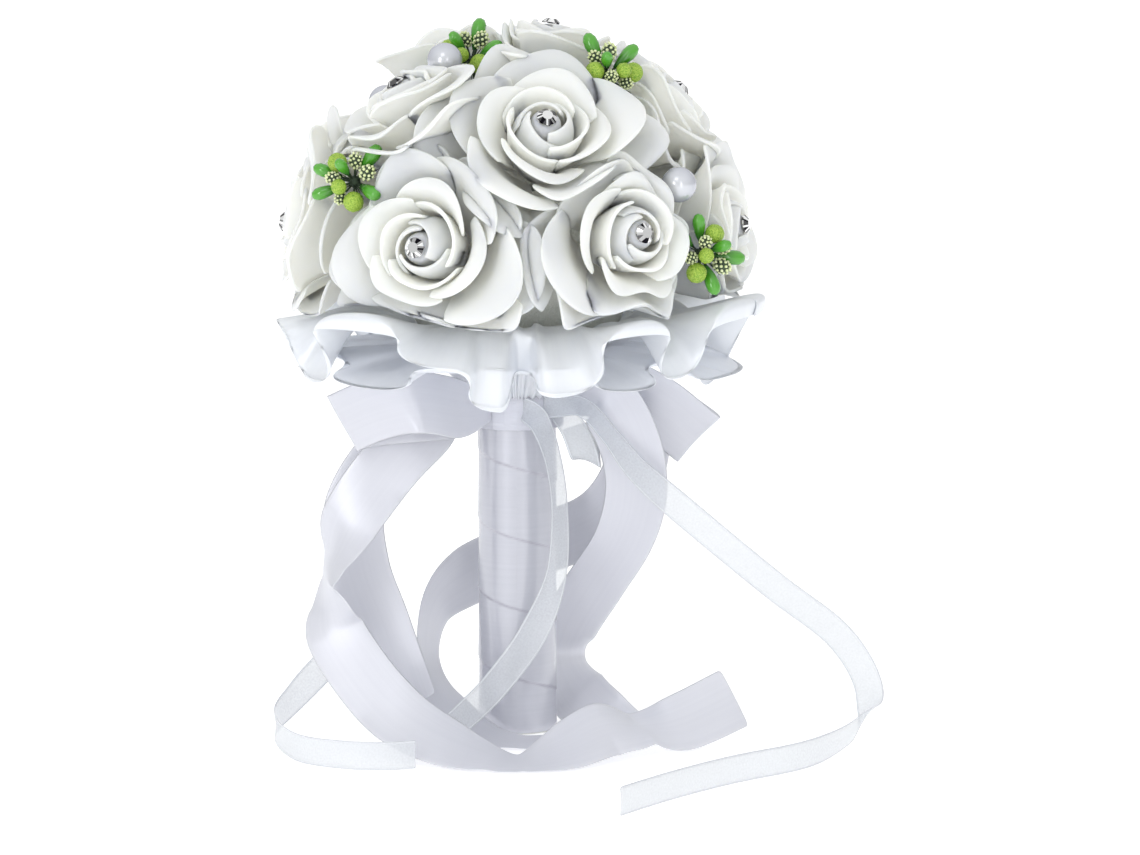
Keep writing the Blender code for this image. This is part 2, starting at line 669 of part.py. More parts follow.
RIBBONS = {
    "satin_tail_left": (
        SATIN_WIDTH,
        (
            (*band_point(-55, 131), 0, 0, 1),
            (-28, -21, 130, -0.3, 0, 1),
            (-45, -31, 121, -0.7, 0, 0.8),
            (-66, -37, 98, -0.9, 0, 0.5),
            (-79, -36, 74, -1, 0, 0.2),
            (-82, -32, 47, -1, 0, -0.1),
            (-72, -38, 26, -0.8, 0, -0.6),
            (-50, -54, 13, -0.5, 0, -0.85),
            (-29, -68, 12, 0, 0, -1),
            (-6, -79, 6, 0, -0.8, -0.6),
            (9, -81, 4, 0, -0.9, -0.4),
            (23, -74, 11, 0, -0.2, -1),
            (36, -61, 13, 0, 0, -1),
            (50, -48, 8, -0.2, -0.6, -0.6),
            (68, -38, 12, 0.2, 0, -1),
            (86, -26, 18, 0.5, 0, -0.9),
        ),
    ),
    "satin_tail_left_back": (
        SATIN_WIDTH,
        (
            (*band_point(-100, 131), 0, 0, 1),
            (-32, 2, 128, -0.3, 0, 1),
            (-48, -3, 116, -0.7, 0, 0.8),
            (-63, -9, 92, -1, 0, 0.3),
            (-62, -12, 70, -1, 0, -0.1),
            (-54, -16, 48, -0.9, 0, -0.4),
            (-45, -25, 30, -0.9, 0, -0.5),
            (-36, -38, 15, -0.7, 0, -0.7),
        ),
    ),
    "satin_tail_right": (
        SATIN_WIDTH,
        (
            (*band_point(70, 132), 0, 0, 1),
            (33, -13, 138, 0, 0, 1),
            (44, -17, 130, 0.8, 0, 0.6),
            (52, -15, 108, 1, 0, 0.2),
            (53, -10, 90, 1, 0, 0),
            (48, -3, 69, 1, 0.2, -0.3),
            (35, 8, 43, 1, 0.2, -0.5),
            (26, 22, 24, 0.9, 0.3, -0.2),
            (31, 14, 12, 0.3, 0.4, 0.9),
            (43, -8, 6, 0.2, 0.7, 0.7),
            (56, -16, 3, 0, 1, 0.2),
        ),
    ),
    "satin_tail_back": (
        SATIN_WIDTH,
        (
            (*band_point(106, 131), 0, 0, 1),
            (34, 9, 136, 0.2, 0, 1),
            (48, 9, 116, 1, 0, 0.3),
            (45, 11, 99, 1, 0, -0.2),
            (35, 15, 84, 0.7, 0, -0.7),
            (20, 24, 74, 0.4, 0, -0.9),
            (0, 29, 66, 0.2, 0, -1),
            (-19, 24, 58, 0.3, 0, -1),
            (-32, 13, 49, 0.4, 0.7, -0.6),
            (-36, 2, 33, 0.3, 0.9, -0.2),
            (-31, -8, 17, 0.2, 1, 0.2),
            (-17, -26, 4, 0.5, 0.8, 0.1),
            (0, -34, 1.5, 0, 1, 0),
            (16, -33, 1.5, 0, 1, 0),
        ),
    ),
    "organza_tail_front": (
        ORGANZA_WIDTH,
        (
            (*band_point(8, 132), 0, 0, 1),
            (11, -24, 127, 0.7, 0, 0.7),
            (17, -25, 112, 1, 0, 0.3),
            (19.5, -24, 92, 1, 0, 0),
            (17.5, -22, 66, 1, 0, -0.2),
            (7, -22, 42, 0.8, 0, -0.6),
            (-9, -27, 22, 0.6, 0, -0.8),
            (-21, -43, 13, 0.4, 0, -0.9),
            (-29, -54, 8, 0.3, 0, -0.9),
        ),
    ),
    "organza_tail_left": (
        ORGANZA_WIDTH,
        (
            (*band_point(-78, 132), 0, 0, 1),
            (-31, -9, 129, -0.3, 0, 1),
            (-47, -17, 117, -0.7, 0, 0.7),
            (-64, -24, 92, -1, 0, 0.3),
            (-74, -21, 66, -1, 0, 0.1),
            (-80, -10, 42, -1, 0, 0.2),
            (-86, -3, 24, -0.5, 0, 0.9),
            (-92, -11, 10, -0.1, 0, 1),
            (-95, -30, 6.4, 0, 0, 1),
            (-85, -66, 6.4, 0, 0, 1),
            (-65, -80, 6.4, 0, 0, 1),
            (-49, -82, 6.4, 0, 0, 1),
            (-38, -79, 6.4, 0, 0, 1),
        ),
    ),
    "organza_tail_right": (
        ORGANZA_WIDTH,
        (
            (*band_point(34, 132), 0, 0, 1),
            (26, -23, 133, 0.3, 0, 1),
            (38, -26, 122, 0.7, 0, 0.7),
            (49, -26, 108, 0.7, 0, 0.7),
            (71, -22, 92, 0.5, 0, 0.8),
            (102, -20, 62, 0.6, 0, 0.7),
            (128, -16, 40, 0.7, 0, 0.7),
            (140, -18, 19, 0.9, 0, 0.3),
            (134, -34, 7, 0.3, 0, 1),
            (114, -76, 6.4, 0, 0, 1),
            (82, -105, 6.4, 0, 0, 1),
            (59, -130, 6.4, 0, 0, 1),
            (39, -156, 6.4, 0, 0, 1),
        ),
    ),
    "organza_loop": (
        ORGANZA_WIDTH,
        (
            (*band_point(52, 132), 0, 0, 1),
            (22, -16, 124, 0.9, 0, 0.4),
            (26.5, -15.5, 113, 0.9, 0, -0.4),
            (28, -12.5, 109.5, 0.9, 0, -0.4),
            (27, -9.8, 113, 0.9, 0, -0.4),
            (23.5, -9.3, 124, 0.9, 0, 0.4),
        ),
    ),
    "bow_loop_left": (
        SATIN_WIDTH,
        (
            (*band_point(-32, 131), 0, 0, 1),
            (-22, -34, 139, -0.1, 0, 1),
            (-41, -46, 141, -0.35, 0, 1),
            (-58, -44, 135, -0.45, 0, 0.9),
            (-66.5, -39.5, 130, -0.5, 0, 0.85),
            (-60, -36, 131.5, -0.5, 0, 0.85),
            (-42, -35, 136, -0.35, 0, 1),
            (-26, -26.5, 136, -0.1, 0, 1),
        ),
    ),
    "bow_loop_right": (
        SATIN_WIDTH,
        (
            (*band_point(88, 132), 0, 0, 1),
            (36, -4, 139, 0.3, 0, 1),
            (54, -7, 132, 0.6, 0, 0.8),
            (70, -4, 119, 0.7, 0, 0.7),
            (72, -1.5, 117.5, 0.7, 0, 0.7),
            (69.5, 1, 119.5, 0.7, 0, 0.7),
            (54, 1, 130, 0.6, 0, 0.8),
            (38, 1.5, 137, 0.3, 0, 1),
        ),
    ),
}


def smooth_route(route, steps):
    """Points and width directions along a smooth curve through the rows of a route."""
    rows = [Vector(row[:3]) * MM for row in route]
    widths = [Vector(row[3:]).normalized() for row in route]
    points, hints = [], []
    for number in range(len(rows) - 1):
        before = rows[max(number - 1, 0)]
        here, there = rows[number], rows[number + 1]
        after = rows[min(number + 2, len(rows) - 1)]
        for step in range(steps):
            t = step / steps
            leave, arrive = (there - before) / 2, (after - here) / 2
            points.append(
                here * (2 * t**3 - 3 * t**2 + 1)
                + leave * (t**3 - 2 * t**2 + t)
                + there * (3 * t**2 - 2 * t**3)
                + arrive * (t**3 - t**2)
            )
            hints.append(widths[number].lerp(widths[number + 1], t))
    return points + [rows[-1]], hints + [widths[-1]]


def add_ribbon(name, width, route, collection, finish):
    points, hints = smooth_route(route, RIBBON_STEPS)
    count = len(points) - 1
    run = [0.0]
    for here, there in zip(points, points[1:]):
        run.append(run[-1] + (there - here).length)

    def place(column, row):
        number = round(column * count)
        ahead = points[min(number + 1, count)] - points[max(number - 1, 0)]
        along = ahead.normalized()
        side = hints[number]
        if number > 0:
            side = (side - along * side.dot(along)).normalized()
        opened = min(1, run[number] / PINCH_LENGTH)
        half = (PINCHED_WIDTH + (width - PINCHED_WIDTH) * math.sin(opened * math.pi / 2)) / 2
        point = points[number] + side * half * (2 * row - 1)
        return Vector((point.x, point.y, max(point.z, FLOOR_CLEARANCE + RIBBON_THICKNESS / 2)))

    ribbon = add_object(name, sheet_grid(count, 1, place), collection, finish)
    return thicken(ribbon, RIBBON_THICKNESS)


def main():
    clear_scene()
    bouquet = new_collection("bridal_bouquet")
    foam = material("foam_white", (0.88, 0.89, 0.86), 0.7)
    satin = material("satin_white", (0.78, 0.80, 0.88), 0.35)
    organza = material("organza_white", (0.85, 0.88, 0.90), 0.4, alpha=0.5)
    rhinestone = material("rhinestone", (0.8, 0.8, 0.8), 0.05, metallic=0.9)
    pearl = material("pearl", (0.82, 0.82, 0.84), 0.15)
    berry = material("berry_green", (0.14, 0.42, 0.06), 0.3)
    core = material("handle_core", (0.8, 0.8, 0.82), 0.6)
    block = material("foam_block", (0.85, 0.86, 0.84), 0.8)
    add_handle(bouquet, core, satin)
    add_ball(bouquet, block)
    add_collar(bouquet, satin)
    for index in range(len(ROSES)):
        add_rose(index, bouquet, foam)
        add_gem(index, bouquet, rhinestone)
    for number in range(len(PEARLS)):
        add_pearl(number, bouquet, pearl)
    for number in range(len(SPRAYS)):
        add_spray(number, bouquet, berry)
    for name, (width, route) in RIBBONS.items():
        add_ribbon(name, width, route, bouquet, organza if name.startswith("organza") else satin)


main()
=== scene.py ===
# %% [markdown]
# # A bridal bouquet, dressed piece by piece
# The imported solids are a plain bouquet: roses with a few thick petals, ribbons as strips. This lesson
# loads them as a fixed frame and puts the real surfaces around them: foam petals, cut stones, beads,
# satin and organza. Each new piece hides the solid that it stands for.

# %% Load the imported solids
import math
import random

import bmesh
import bpy
from mathutils import Matrix, Vector, noise


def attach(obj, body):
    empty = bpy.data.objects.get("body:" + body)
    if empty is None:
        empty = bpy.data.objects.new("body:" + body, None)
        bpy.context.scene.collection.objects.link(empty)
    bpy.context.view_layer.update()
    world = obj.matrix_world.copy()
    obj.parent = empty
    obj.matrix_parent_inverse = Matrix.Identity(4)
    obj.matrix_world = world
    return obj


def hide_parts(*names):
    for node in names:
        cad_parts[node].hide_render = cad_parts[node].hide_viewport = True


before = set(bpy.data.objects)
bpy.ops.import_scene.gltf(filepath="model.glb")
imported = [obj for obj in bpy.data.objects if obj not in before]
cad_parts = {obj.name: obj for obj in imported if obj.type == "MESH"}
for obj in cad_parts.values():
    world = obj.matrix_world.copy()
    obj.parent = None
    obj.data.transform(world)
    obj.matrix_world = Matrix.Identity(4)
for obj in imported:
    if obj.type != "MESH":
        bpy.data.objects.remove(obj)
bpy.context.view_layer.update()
MM = 0.001

# %% [markdown]
# ## The camera and the light
# The photograph was taken from about 1.6 m with a long lens, a little above level. Its ground is pure
# white, with hardly a shadow. So the bouquet stands on an opal light table in a white tent, brightest in
# front and overhead, and three soft lamps give the satin its shine.

# %% Camera
LENS = 128.2
LOOKING_DOWN = 8.3
camera_data = bpy.data.cameras.new("camera")
camera_data.sensor_width = 36
camera_data.lens = LENS
camera = bpy.data.objects.new("camera", camera_data)
camera.location = (0.021, -1.6, 0.355)
camera.rotation_euler = (math.radians(90 - LOOKING_DOWN), 0, 0)
bpy.context.scene.collection.objects.link(camera)
bpy.context.scene.camera = camera
print("lens", LENS, "mm, looking down", LOOKING_DOWN, "degrees")


# %% [markdown]
# ## Colour and node helpers
# Colours are written as hex values, and one function turns them linear, because shaders count in
# light. One more adds a node, sets it and links it, so each material reads as a list.

# %% Helpers for materials
def linear(hex_colour):
    """Linear red, green and blue of an sRGB hex colour, and full cover."""
    parts = [int(hex_colour[start : start + 2], 16) / 255 for start in (1, 3, 5)]
    return (*(part / 12.92 if part <= 0.04045 else ((part + 0.055) / 1.055) ** 2.4 for part in parts), 1)


def add_node(tree, kind, inputs=None, feeds=None, **settings):
    """A shader node. An input is a value, or an output to link; feeds has sockets that it goes to."""
    node = tree.nodes.new("ShaderNode" + kind)
    for name, value in settings.items():
        setattr(node, name, value)
    for name, value in (inputs or {}).items():
        if isinstance(value, bpy.types.NodeSocket):
            tree.links.new(value, node.inputs[name])
        else:
            node.inputs[name].default_value = value
    for name, socket in (feeds or {}).items():
        tree.links.new(node.outputs[name], socket)
    return node


def new_material(name, colour, roughness, **sockets):
    """A material with its Principled shader, whose even values are set on the sockets."""
    made = bpy.data.materials.new(name)
    made.use_nodes = True
    shader = made.node_tree.nodes["Principled BSDF"]
    shader.inputs["Base Color"].default_value = linear(colour)
    shader.inputs["Roughness"].default_value = roughness
    for socket, value in sockets.items():
        shader.inputs[socket.replace("_", " ")].default_value = value
    return made, made.node_tree, shader


# %% Studio
# Each lamp: its place, width, height and power
LAMPS = {
    "key_lamp": ((-0.4, -1.3, 1.4), 0.6, 0.6, 2),
    "front_lamp": ((-0.85, -1.45, 0.45), 0.3, 0.7, 4.5),
    "strip_lamp": ((0.5, -1.6, 0.4), 0.1, 0.9, 1.5),
}
HEAD = Vector((0, 0, 0.18))
for name, (place, width, height, power) in LAMPS.items():
    data = bpy.data.lights.new(name, "AREA")
    data.shape = "RECTANGLE"
    data.size = width
    data.size_y = height
    data.energy = power
    lamp = bpy.data.objects.new(name, data)
    lamp.location = place
    lamp.rotation_euler = (HEAD - Vector(place)).to_track_quat("-Z", "Y").to_euler()
    bpy.context.scene.collection.objects.link(lamp)
world = bpy.data.worlds.new("tent")
bpy.context.scene.world = world
world.use_nodes = True
tent = world.node_tree
tent.nodes["Background"].inputs["Color"].default_value = linear("#feffff")
sight = add_node(tent, "TexCoord")
axes = add_node(tent, "SeparateXYZ", {"Vector": sight.outputs["Generated"]})
# The tent's brightness along a direction's axis: from one end's to the other's
TENT_WALLS = {
    "Y": {"From Min": -0.95, "From Max": -0.2, "To Min": 0.76, "To Max": 0.6},
    "Z": {"From Min": 0.1, "From Max": 0.8, "To Min": 0, "To Max": 0.34},
}
glow = 0
for axis, reach in TENT_WALLS.items():
    wall = add_node(tent, "MapRange", {"Value": axes.outputs[axis], **reach})
    glow = add_node(tent, "Math", {0: glow, 1: wall.outputs["Result"]}, operation="ADD").outputs[0]
tent.links.new(glow, tent.nodes["Background"].inputs["Strength"])
bpy.context.scene.view_settings.view_transform = "Standard"

FLOOR_REACH = 14
LIT_FROM_BELOW = 0.45
glowing = {"Emission_Color": linear("#ffffff"), "Emission_Strength": LIT_FROM_BELOW}
floor_material, _, _ = new_material("opal_light_table", "#f4f4f4", 0.9, **glowing)
bm = bmesh.new()
bmesh.ops.create_grid(bm, x_segments=1, y_segments=1, size=FLOOR_REACH)
floor_mesh = bpy.data.meshes.new("floor")
bm.to_mesh(floor_mesh)
bm.free()
floor_mesh.materials.append(floor_material)
floor = bpy.data.objects.new("floor", floor_mesh)
bpy.context.scene.collection.objects.link(floor)
print("lamps:", sorted(LAMPS))


# %% [markdown]
# ## Finishes
# Each finish is named for the real one. The petals are cut from closed-cell EVA foam sheet and
# moulded warm: matt and letting some light through. Deep in each rose they are painted lighter and
# cream, painted light for the light that bounces between petals, and they are cooler at the rims. The
# ribbons are polyester satin, smooth with long floats, and organza, sheer with a denser woven edge.

# %% Foam
def moulded_eva_foam():
    """Closed-cell EVA foam sheet, moulded warm. Light travels some millimetres inside, which softens
    its shadows. The deep parts are painted lighter and cream: painted light for the light that has
    bounced between petals."""
    scatter = {"Subsurface_Weight": 1.0, "Subsurface_Scale": 0.009, "Subsurface_Radius": (1.0, 0.95, 0.8)}
    made, tree, shader = new_material("moulded_eva_foam", "#f0f3ef", 0.62, **scatter)
    depth = add_node(tree, "Attribute", attribute_name="depth")
    # Painted light: by depth, 0 at a petal's root and 1 at its lip, the deep parts are painted lighter and
    # cream
    tones = {0: depth.outputs["Fac"], 6: linear("#fffdf4"), 7: linear("#f3f6ef")}
    add_node(tree, "Mix", tones, {2: shader.inputs["Base Color"]}, data_type="RGBA")
    place = add_node(tree, "TexCoord")
    # Foam cells are about 0.1 mm across, drawn at 0.7 mm so that they just show
    cells = add_node(tree, "TexNoise", {"Vector": place.outputs["Object"], "Scale": 1400, "Detail": 2})
    relief = {"Height": cells.outputs["Fac"], "Strength": 0.08, "Distance": 0.0002}
    add_node(tree, "Bump", relief, {"Normal": shader.inputs["Normal"]})
    return made


foam = moulded_eva_foam()
print(foam.name, "ready")


# %% Satin and organza
def polyester_satin(name, shade, light, sheer, rough):
    """Satin ribbon: warp floats lie side by side over the face, so it is smooth and cool white. Its long
    soft streaks of shine are partly roughness that varies along the floats and partly painted sheen:
    raised floats are painted the light tone, the rest the shade tone. Thin satin lets light through, by
    its sheer share, and ribbon pulled tight is less rough. The cloth's UV map is in metres: U across, V
    along."""
    scatter = {"Subsurface_Weight": sheer, "Subsurface_Scale": 0.002, "Subsurface_Radius": (1, 1, 1)}
    made, tree, shader = new_material(name, light, rough, Metallic=0.25, Sheen_Weight=0.15, **scatter)
    cloth = add_node(tree, "UVMap", uv_map="cloth")
    # Floats are about 0.1 mm apart and run along the ribbon, drawn as streaks 1.4 mm wide
    stretch = add_node(tree, "Mapping", {"Vector": cloth.outputs["UV"], "Scale": (700, 9, 1)})
    floats = add_node(tree, "TexNoise", {"Vector": stretch.outputs["Vector"], "Scale": 1, "Detail": 3})
    # Painted sheen: the floats' streaks are painted between the shade tone and the light tone, raised ones
    # lighter
    tones = {0: floats.outputs["Fac"], 6: linear(shade), 7: linear(light)}
    tint = add_node(tree, "Mix", tones, data_type="RGBA")
    # A thin shadow is painted under each overlapping edge of the handle's wrap
    seam_shadow = add_node(tree, "Attribute", attribute_name="seam_shadow")
    shades = {0: seam_shadow.outputs["Fac"], 6: tint.outputs[2], 7: linear("#b4b2bc")}
    add_node(tree, "Mix", shades, {2: shader.inputs["Base Color"]}, data_type="RGBA")
    reach = {"Value": floats.outputs["Fac"], "To Min": rough - 0.04, "To Max": rough + 0.04}
    add_node(tree, "MapRange", reach, {"Result": shader.inputs["Roughness"]})
    relief = {"Height": floats.outputs["Fac"], "Strength": 0.05, "Distance": 0.0001}
    add_node(tree, "Bump", relief, {"Normal": shader.inputs["Normal"]})
    return made


ORGANZA_WIDTH = 0.0115
SELVEDGE = 0.0007


def sheer_organza():
    """Organza ribbon: a stiff sheer plain weave of fine monofilament, so most light passes between
    the threads; the woven edges are dense and read as two bright lines."""
    made, tree, shader = new_material("sheer_organza", "#d9dce1", 0.4)
    cloth = add_node(tree, "UVMap", uv_map="cloth")
    split = add_node(tree, "SeparateXYZ", {"Vector": cloth.outputs["UV"]})
    middle = ORGANZA_WIDTH / 2
    offset = add_node(tree, "Math", {0: split.outputs["X"], 1: middle}, operation="SUBTRACT")
    aside = add_node(tree, "Math", {0: offset.outputs[0]}, operation="ABSOLUTE")
    reach = {"From Min": middle - 1.4 * SELVEDGE, "From Max": middle - 0.6 * SELVEDGE, "To Max": 0.4}
    edge = add_node(tree, "MapRange", {"Value": aside.outputs[0], **reach})
    # The threads are 0.15 mm apart, drawn as a 0.8 mm mottle
    grain = add_node(tree, "TexNoise", {"Vector": cloth.outputs["UV"], "Scale": 1200, "Detail": 2})
    body = add_node(tree, "MapRange", {"Value": grain.outputs["Fac"], "To Min": 0.36, "To Max": 0.54})
    cover = {0: body.outputs["Result"], 1: edge.outputs["Result"]}
    add_node(tree, "Math", cover, {0: shader.inputs["Alpha"]}, operation="ADD")
    return made


# One white satin in three tones: the collar's is painted lighter than the ribbons', painted light, and the
# handle wrap's darker, painted shade for its place under the flowers
satin = polyester_satin("polyester_satin", "#cacbd4", "#d2d3db", 0.5, 0.4)
thin_satin_painted_lighter = polyester_satin("thin_polyester_satin_painted_lighter", "#e4e8f1", "#ecf0f7", 0.8, 0.4)
wound_satin_painted_darker = polyester_satin("wound_polyester_satin_painted_darker", "#bebfc8", "#c9cad2", 0.3, 0.24)
organza = sheer_organza()
print(satin.name, thin_satin_painted_lighter.name, wound_satin_painted_darker.name, organza.name, "ready")


# %% [markdown]
# ## Stones, beads and berries
# The rhinestones are glass with a silvered back; their facets are painted tones from near black to
# white, painted reflections of a room. The pearls are plastic beads dipped in pearl lacquer. The
# berries are foam beads, lacquered green or rolled in grit.

# %% Small hard finishes
def silvered_rhinestone():
    """Foil-backed cut glass. Its facets are painted tones from near black to white: painted reflections of
    the parts of a room.
    """
    made, tree, shader = new_material("silvered_rhinestone", "#ffffff", 0.06, Metallic=1.0)
    tone = add_node(tree, "Attribute", attribute_name="facet")
    tones = {0: tone.outputs["Fac"], 6: linear("#1b191f"), 7: linear("#ffffff")}
    add_node(tree, "Mix", tones, {2: shader.inputs["Base Color"]}, data_type="RGBA")
    return made


def pearl_lacquer():
    """Imitation pearl: a plastic bead under lacquer full of mica plates. Its rim, seen edge-on, is painted a
    darker blue-grey: partly the lacquer's own shift of colour, partly painted sheen and shade.
    """
    made, tree, shader = new_material(
        "pearl_lacquer", "#cdd0d8", 0.25, Metallic=0.35, Coat_Weight=0.9, Coat_Roughness=0.05
    )
    rim = add_node(tree, "LayerWeight", {"Blend": 0.35})
    # Painted sheen and shade: the rim, seen edge-on, is painted darker blue-grey
    tones = {0: rim.outputs["Facing"], 6: linear("#d2d4da"), 7: linear("#9fa2b6")}
    add_node(tree, "Mix", tones, {2: shader.inputs["Base Color"]}, data_type="RGBA")
    return made


def lacquered_berry():
    """A dipped bead: deep green at the stalk end and grass green at the tip."""
    made, tree, shader = new_material("lacquered_berry", "#4fae23", 0.18, Coat_Weight=0.6)
    depth = add_node(tree, "Attribute", attribute_name="depth")
    tones = {0: depth.outputs["Fac"], 6: linear("#1c5c12"), 7: linear("#4fa02a")}
    add_node(tree, "Mix", tones, {2: shader.inputs["Base Color"]}, data_type="RGBA")
    return made


def sugared_berry():
    """A bead rolled in clear grit over yellow-green paint. Each grain is painted light in its middle and
    dark green at its edge: a painted highlight on the grain and painted shade between grains.
    """
    made, tree, shader = new_material("sugared_berry", "#a8c832", 0.45)
    place = add_node(tree, "TexCoord")
    # Grains are 0.5 mm across
    grit = add_node(tree, "TexVoronoi", {"Vector": place.outputs["Object"], "Scale": 1900})
    # Painted highlight and shade: light in each grain's middle and dark green at its edge, as its bump rises
    # and falls
    tones = {0: grit.outputs["Distance"], 6: linear("#c3dc5c"), 7: linear("#5f9416")}
    add_node(tree, "Mix", tones, {2: shader.inputs["Base Color"]}, data_type="RGBA")
    relief = {"Height": grit.outputs["Distance"], "Strength": 0.7, "Distance": 0.0004}
    add_node(tree, "Bump", relief, {"Normal": shader.inputs["Normal"]}, invert=True)
    return made


def seed_bead_gloss():
    """Tiny pale seed beads, nearly cream on top."""
    made, tree, shader = new_material("seed_bead_gloss", "#dfe8a8", 0.25)
    place = add_node(tree, "TexCoord")
    mottle = add_node(tree, "TexNoise", {"Vector": place.outputs["Object"], "Scale": 900})
    tones = {0: mottle.outputs["Fac"], 6: linear("#c4d873"), 7: linear("#fcfce6")}
    add_node(tree, "Mix", tones, {2: shader.inputs["Base Color"]}, data_type="RGBA")
    return made


def flocked_wire():
    """Florist's wire and paper bristles dyed bottle green."""
    made, tree, shader = new_material("flocked_wire", "#2a3a2c", 0.7)
    place = add_node(tree, "TexCoord")
    mottle = add_node(tree, "TexNoise", {"Vector": place.outputs["Object"], "Scale": 700})
    tones = {0: mottle.outputs["Fac"], 6: linear("#1c2a20"), 7: linear("#4a5c45")}
    add_node(tree, "Mix", tones, {2: shader.inputs["Base Color"]}, data_type="RGBA")
    return made


rhinestone = silvered_rhinestone()
pearl = pearl_lacquer()
glossy_green = lacquered_berry()
sugar_green = sugared_berry()
seed_cream = seed_bead_gloss()
wire_green = flocked_wire()
print(len(bpy.data.materials), "materials")


# %% [markdown]
# ## Where things are
# The flowers stand on a foam ball like pins in a cushion. A place is an azimuth and an elevation in
# degrees from the ball's centre, with azimuth 0 towards the camera. A frame along an axis gives each
# flower its own up, so one petal rule serves all of them.

# %% Places on the ball
BALL_CENTRE = Vector((0, 0, 0.190))
BALL_RADIUS = 0.048
SEAT_GAP = 0.0003
ROSE_BASE = BALL_RADIUS + SEAT_GAP
ROSE_PLACES = (
    (-23.8, 7.4), (32.5, 10.4), (10, 40), (110, 81), (-38, 44.6), (-86, 9), (80, 9), (88, 46), (-126, 25),
    (-130, 62), (130, 8), (-168, 8), (138, 44), (-172, 44),
)
# Most roses face straight out from where they stand
FACINGS = {4: (-80, 55), 6: (74, 9), 9: (-140, 58)}
ROSES = [(place, FACINGS.get(number, place)) for number, place in enumerate(ROSE_PLACES)]
PEARLS = ((50, 22, 0.088), (-52, 66, 0.086), (125, 27, 0.086), (-152, 26, 0.086), (-120, 44, 0.085))
PEARL_RADIUS = 0.0069
SPRAYS = ((-50, 23), (50, 58), (56, 4), (-90, 77), (160, 26), (-141, 5))
SPRAY_FACINGS = ((-24, 16), (26, 34), (34, 6), (-30, 40), (160, 26), (-141, 5))


def direction(azimuth, elevation):
    """Unit vector from the ball's centre."""
    turn, rise = math.radians(azimuth), math.radians(elevation)
    return Vector((math.cos(rise) * math.sin(turn), -math.cos(rise) * math.cos(turn), math.sin(rise)))


def frame_along(axis, origin):
    """Matrix whose Z runs along axis, from origin, with Y towards the top."""
    side = Vector((0, 0, 1)).cross(axis)
    side = side.normalized() if side.length > 1e-6 else Vector((1, 0, 0))
    matrix = Matrix((side, axis.cross(side), axis)).transposed().to_4x4()
    matrix.translation = origin
    return matrix


def finished(name, bm, materials, node=None, slot=None, smooth=True):
    """Links a piece made in a bmesh, rides it on the bouquet and hides the solid that it stands for."""
    mesh = bpy.data.meshes.new(name)
    for face in bm.faces:
        face.smooth = smooth
    bm.to_mesh(mesh)
    bm.free()
    for used in materials:
        mesh.materials.append(used)
    made = bpy.data.objects.new(name, mesh)
    bpy.context.scene.collection.objects.link(made)
    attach(made, "root")
    if node:
        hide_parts(node)
    return made


def finish_sheet(piece, thickness):
    """Gives an open sheet its thickness and rounds its rim."""
    wall = piece.modifiers.new("thickness", "SOLIDIFY")
    wall.thickness = thickness
    wall.offset = 0
    smooth = piece.modifiers.new("rounded", "SUBSURF")
    smooth.levels = 1
    smooth.render_levels = 1


def curve_through(before, here, there, after, t):
    """A smooth curve from here to there, t 0 to 1, that takes its slopes from the points around."""
    return (
        here * (2 * t**3 - 3 * t**2 + 1)
        + (there - before) / 2 * (t**3 - 2 * t**2 + t)
        + there * (3 * t**2 - 2 * t**3)
        + (after - here) / 2 * (t**3 - t**2)
    )


def rod(bm, place, low, high, radius, sides, tip=None):
    """A round rod along the Z of place, from low to high; its tip can have a radius of its own."""
    middle = Matrix.Translation((0, 0, (low + high) / 2))
    return bmesh.ops.create_cone(
        bm, cap_ends=True, segments=sides, radius1=radius, radius2=tip or radius, depth=high - low,
        matrix=place @ middle,
    )


print(len(ROSES), "roses,", len(PEARLS), "pearls,", len(SPRAYS), "sprays")

# %% [markdown]
# ## The room of a rose
# Petals press against the next rose and stop there, so each rose gets a room: planes halfway to its
# neighbours and beside the wires, and the collar below, a cone with lobes that petals droop into. A
# point that would pass a wall is drawn in, smoothly, so the layers stay nested. Near the dome's surface
# a wide petal may lap over a neighbour, but never over a wire.

# %% Walls between roses
ROSE_MIDDLE = 0.026
NEIGHBOUR_REACH = 0.105
TRIM_MIDDLE = 0.075
TRIM_REACH = 0.060
WIRE_ROOM = 0.0016
SPRAY_ROOM = 0.0102
SPRAY_FAR = 0.088
COLLAR_CONE = (0.047, 0.1665, 0.28)
# The collar's free edge, round from the front: azimuth in degrees, radius and height in metres
COLLAR_EDGE = (
    (-18, 0.088, 0.157), (-4, 0.083, 0.1415), (1.5, 0.064, 0.153), (11, 0.085, 0.147), (32, 0.094, 0.174),
    (46, 0.084, 0.150), (61, 0.0945, 0.177), (86, 0.096, 0.176), (106, 0.077, 0.138), (124, 0.094, 0.174),
    (143, 0.084, 0.148), (162, 0.094, 0.174), (180, 0.084, 0.149), (200, 0.094, 0.174), (220, 0.084, 0.148),
    (240, 0.094, 0.174), (257, 0.083, 0.149), (272, 0.093, 0.166), (288, 0.083, 0.145), (322, 0.095, 0.176),
)
HANGING, RAISED = 0.150, 0.172
DROOP = 0.009
DROOP_START, DROOP_END = 0.068, 0.088
FARTHEST_WALL = 80
HALVINGS = 14


def rose_middle(root, facing):
    return direction(*root) * ROSE_BASE + direction(*facing) * ROSE_MIDDLE


def plane_beside(middle, line, near, far):
    """A plane beside a wire that widens from near to far: each is a distance out and a half width."""
    away = (middle - line * middle.dot(line)).normalized()
    low = line * near[0] + away * near[1]
    high = line * far[0] + away * far[1]
    normal = line.cross(away).cross(high - low).normalized()
    return low, normal if normal.dot(middle - low) > 0 else -normal


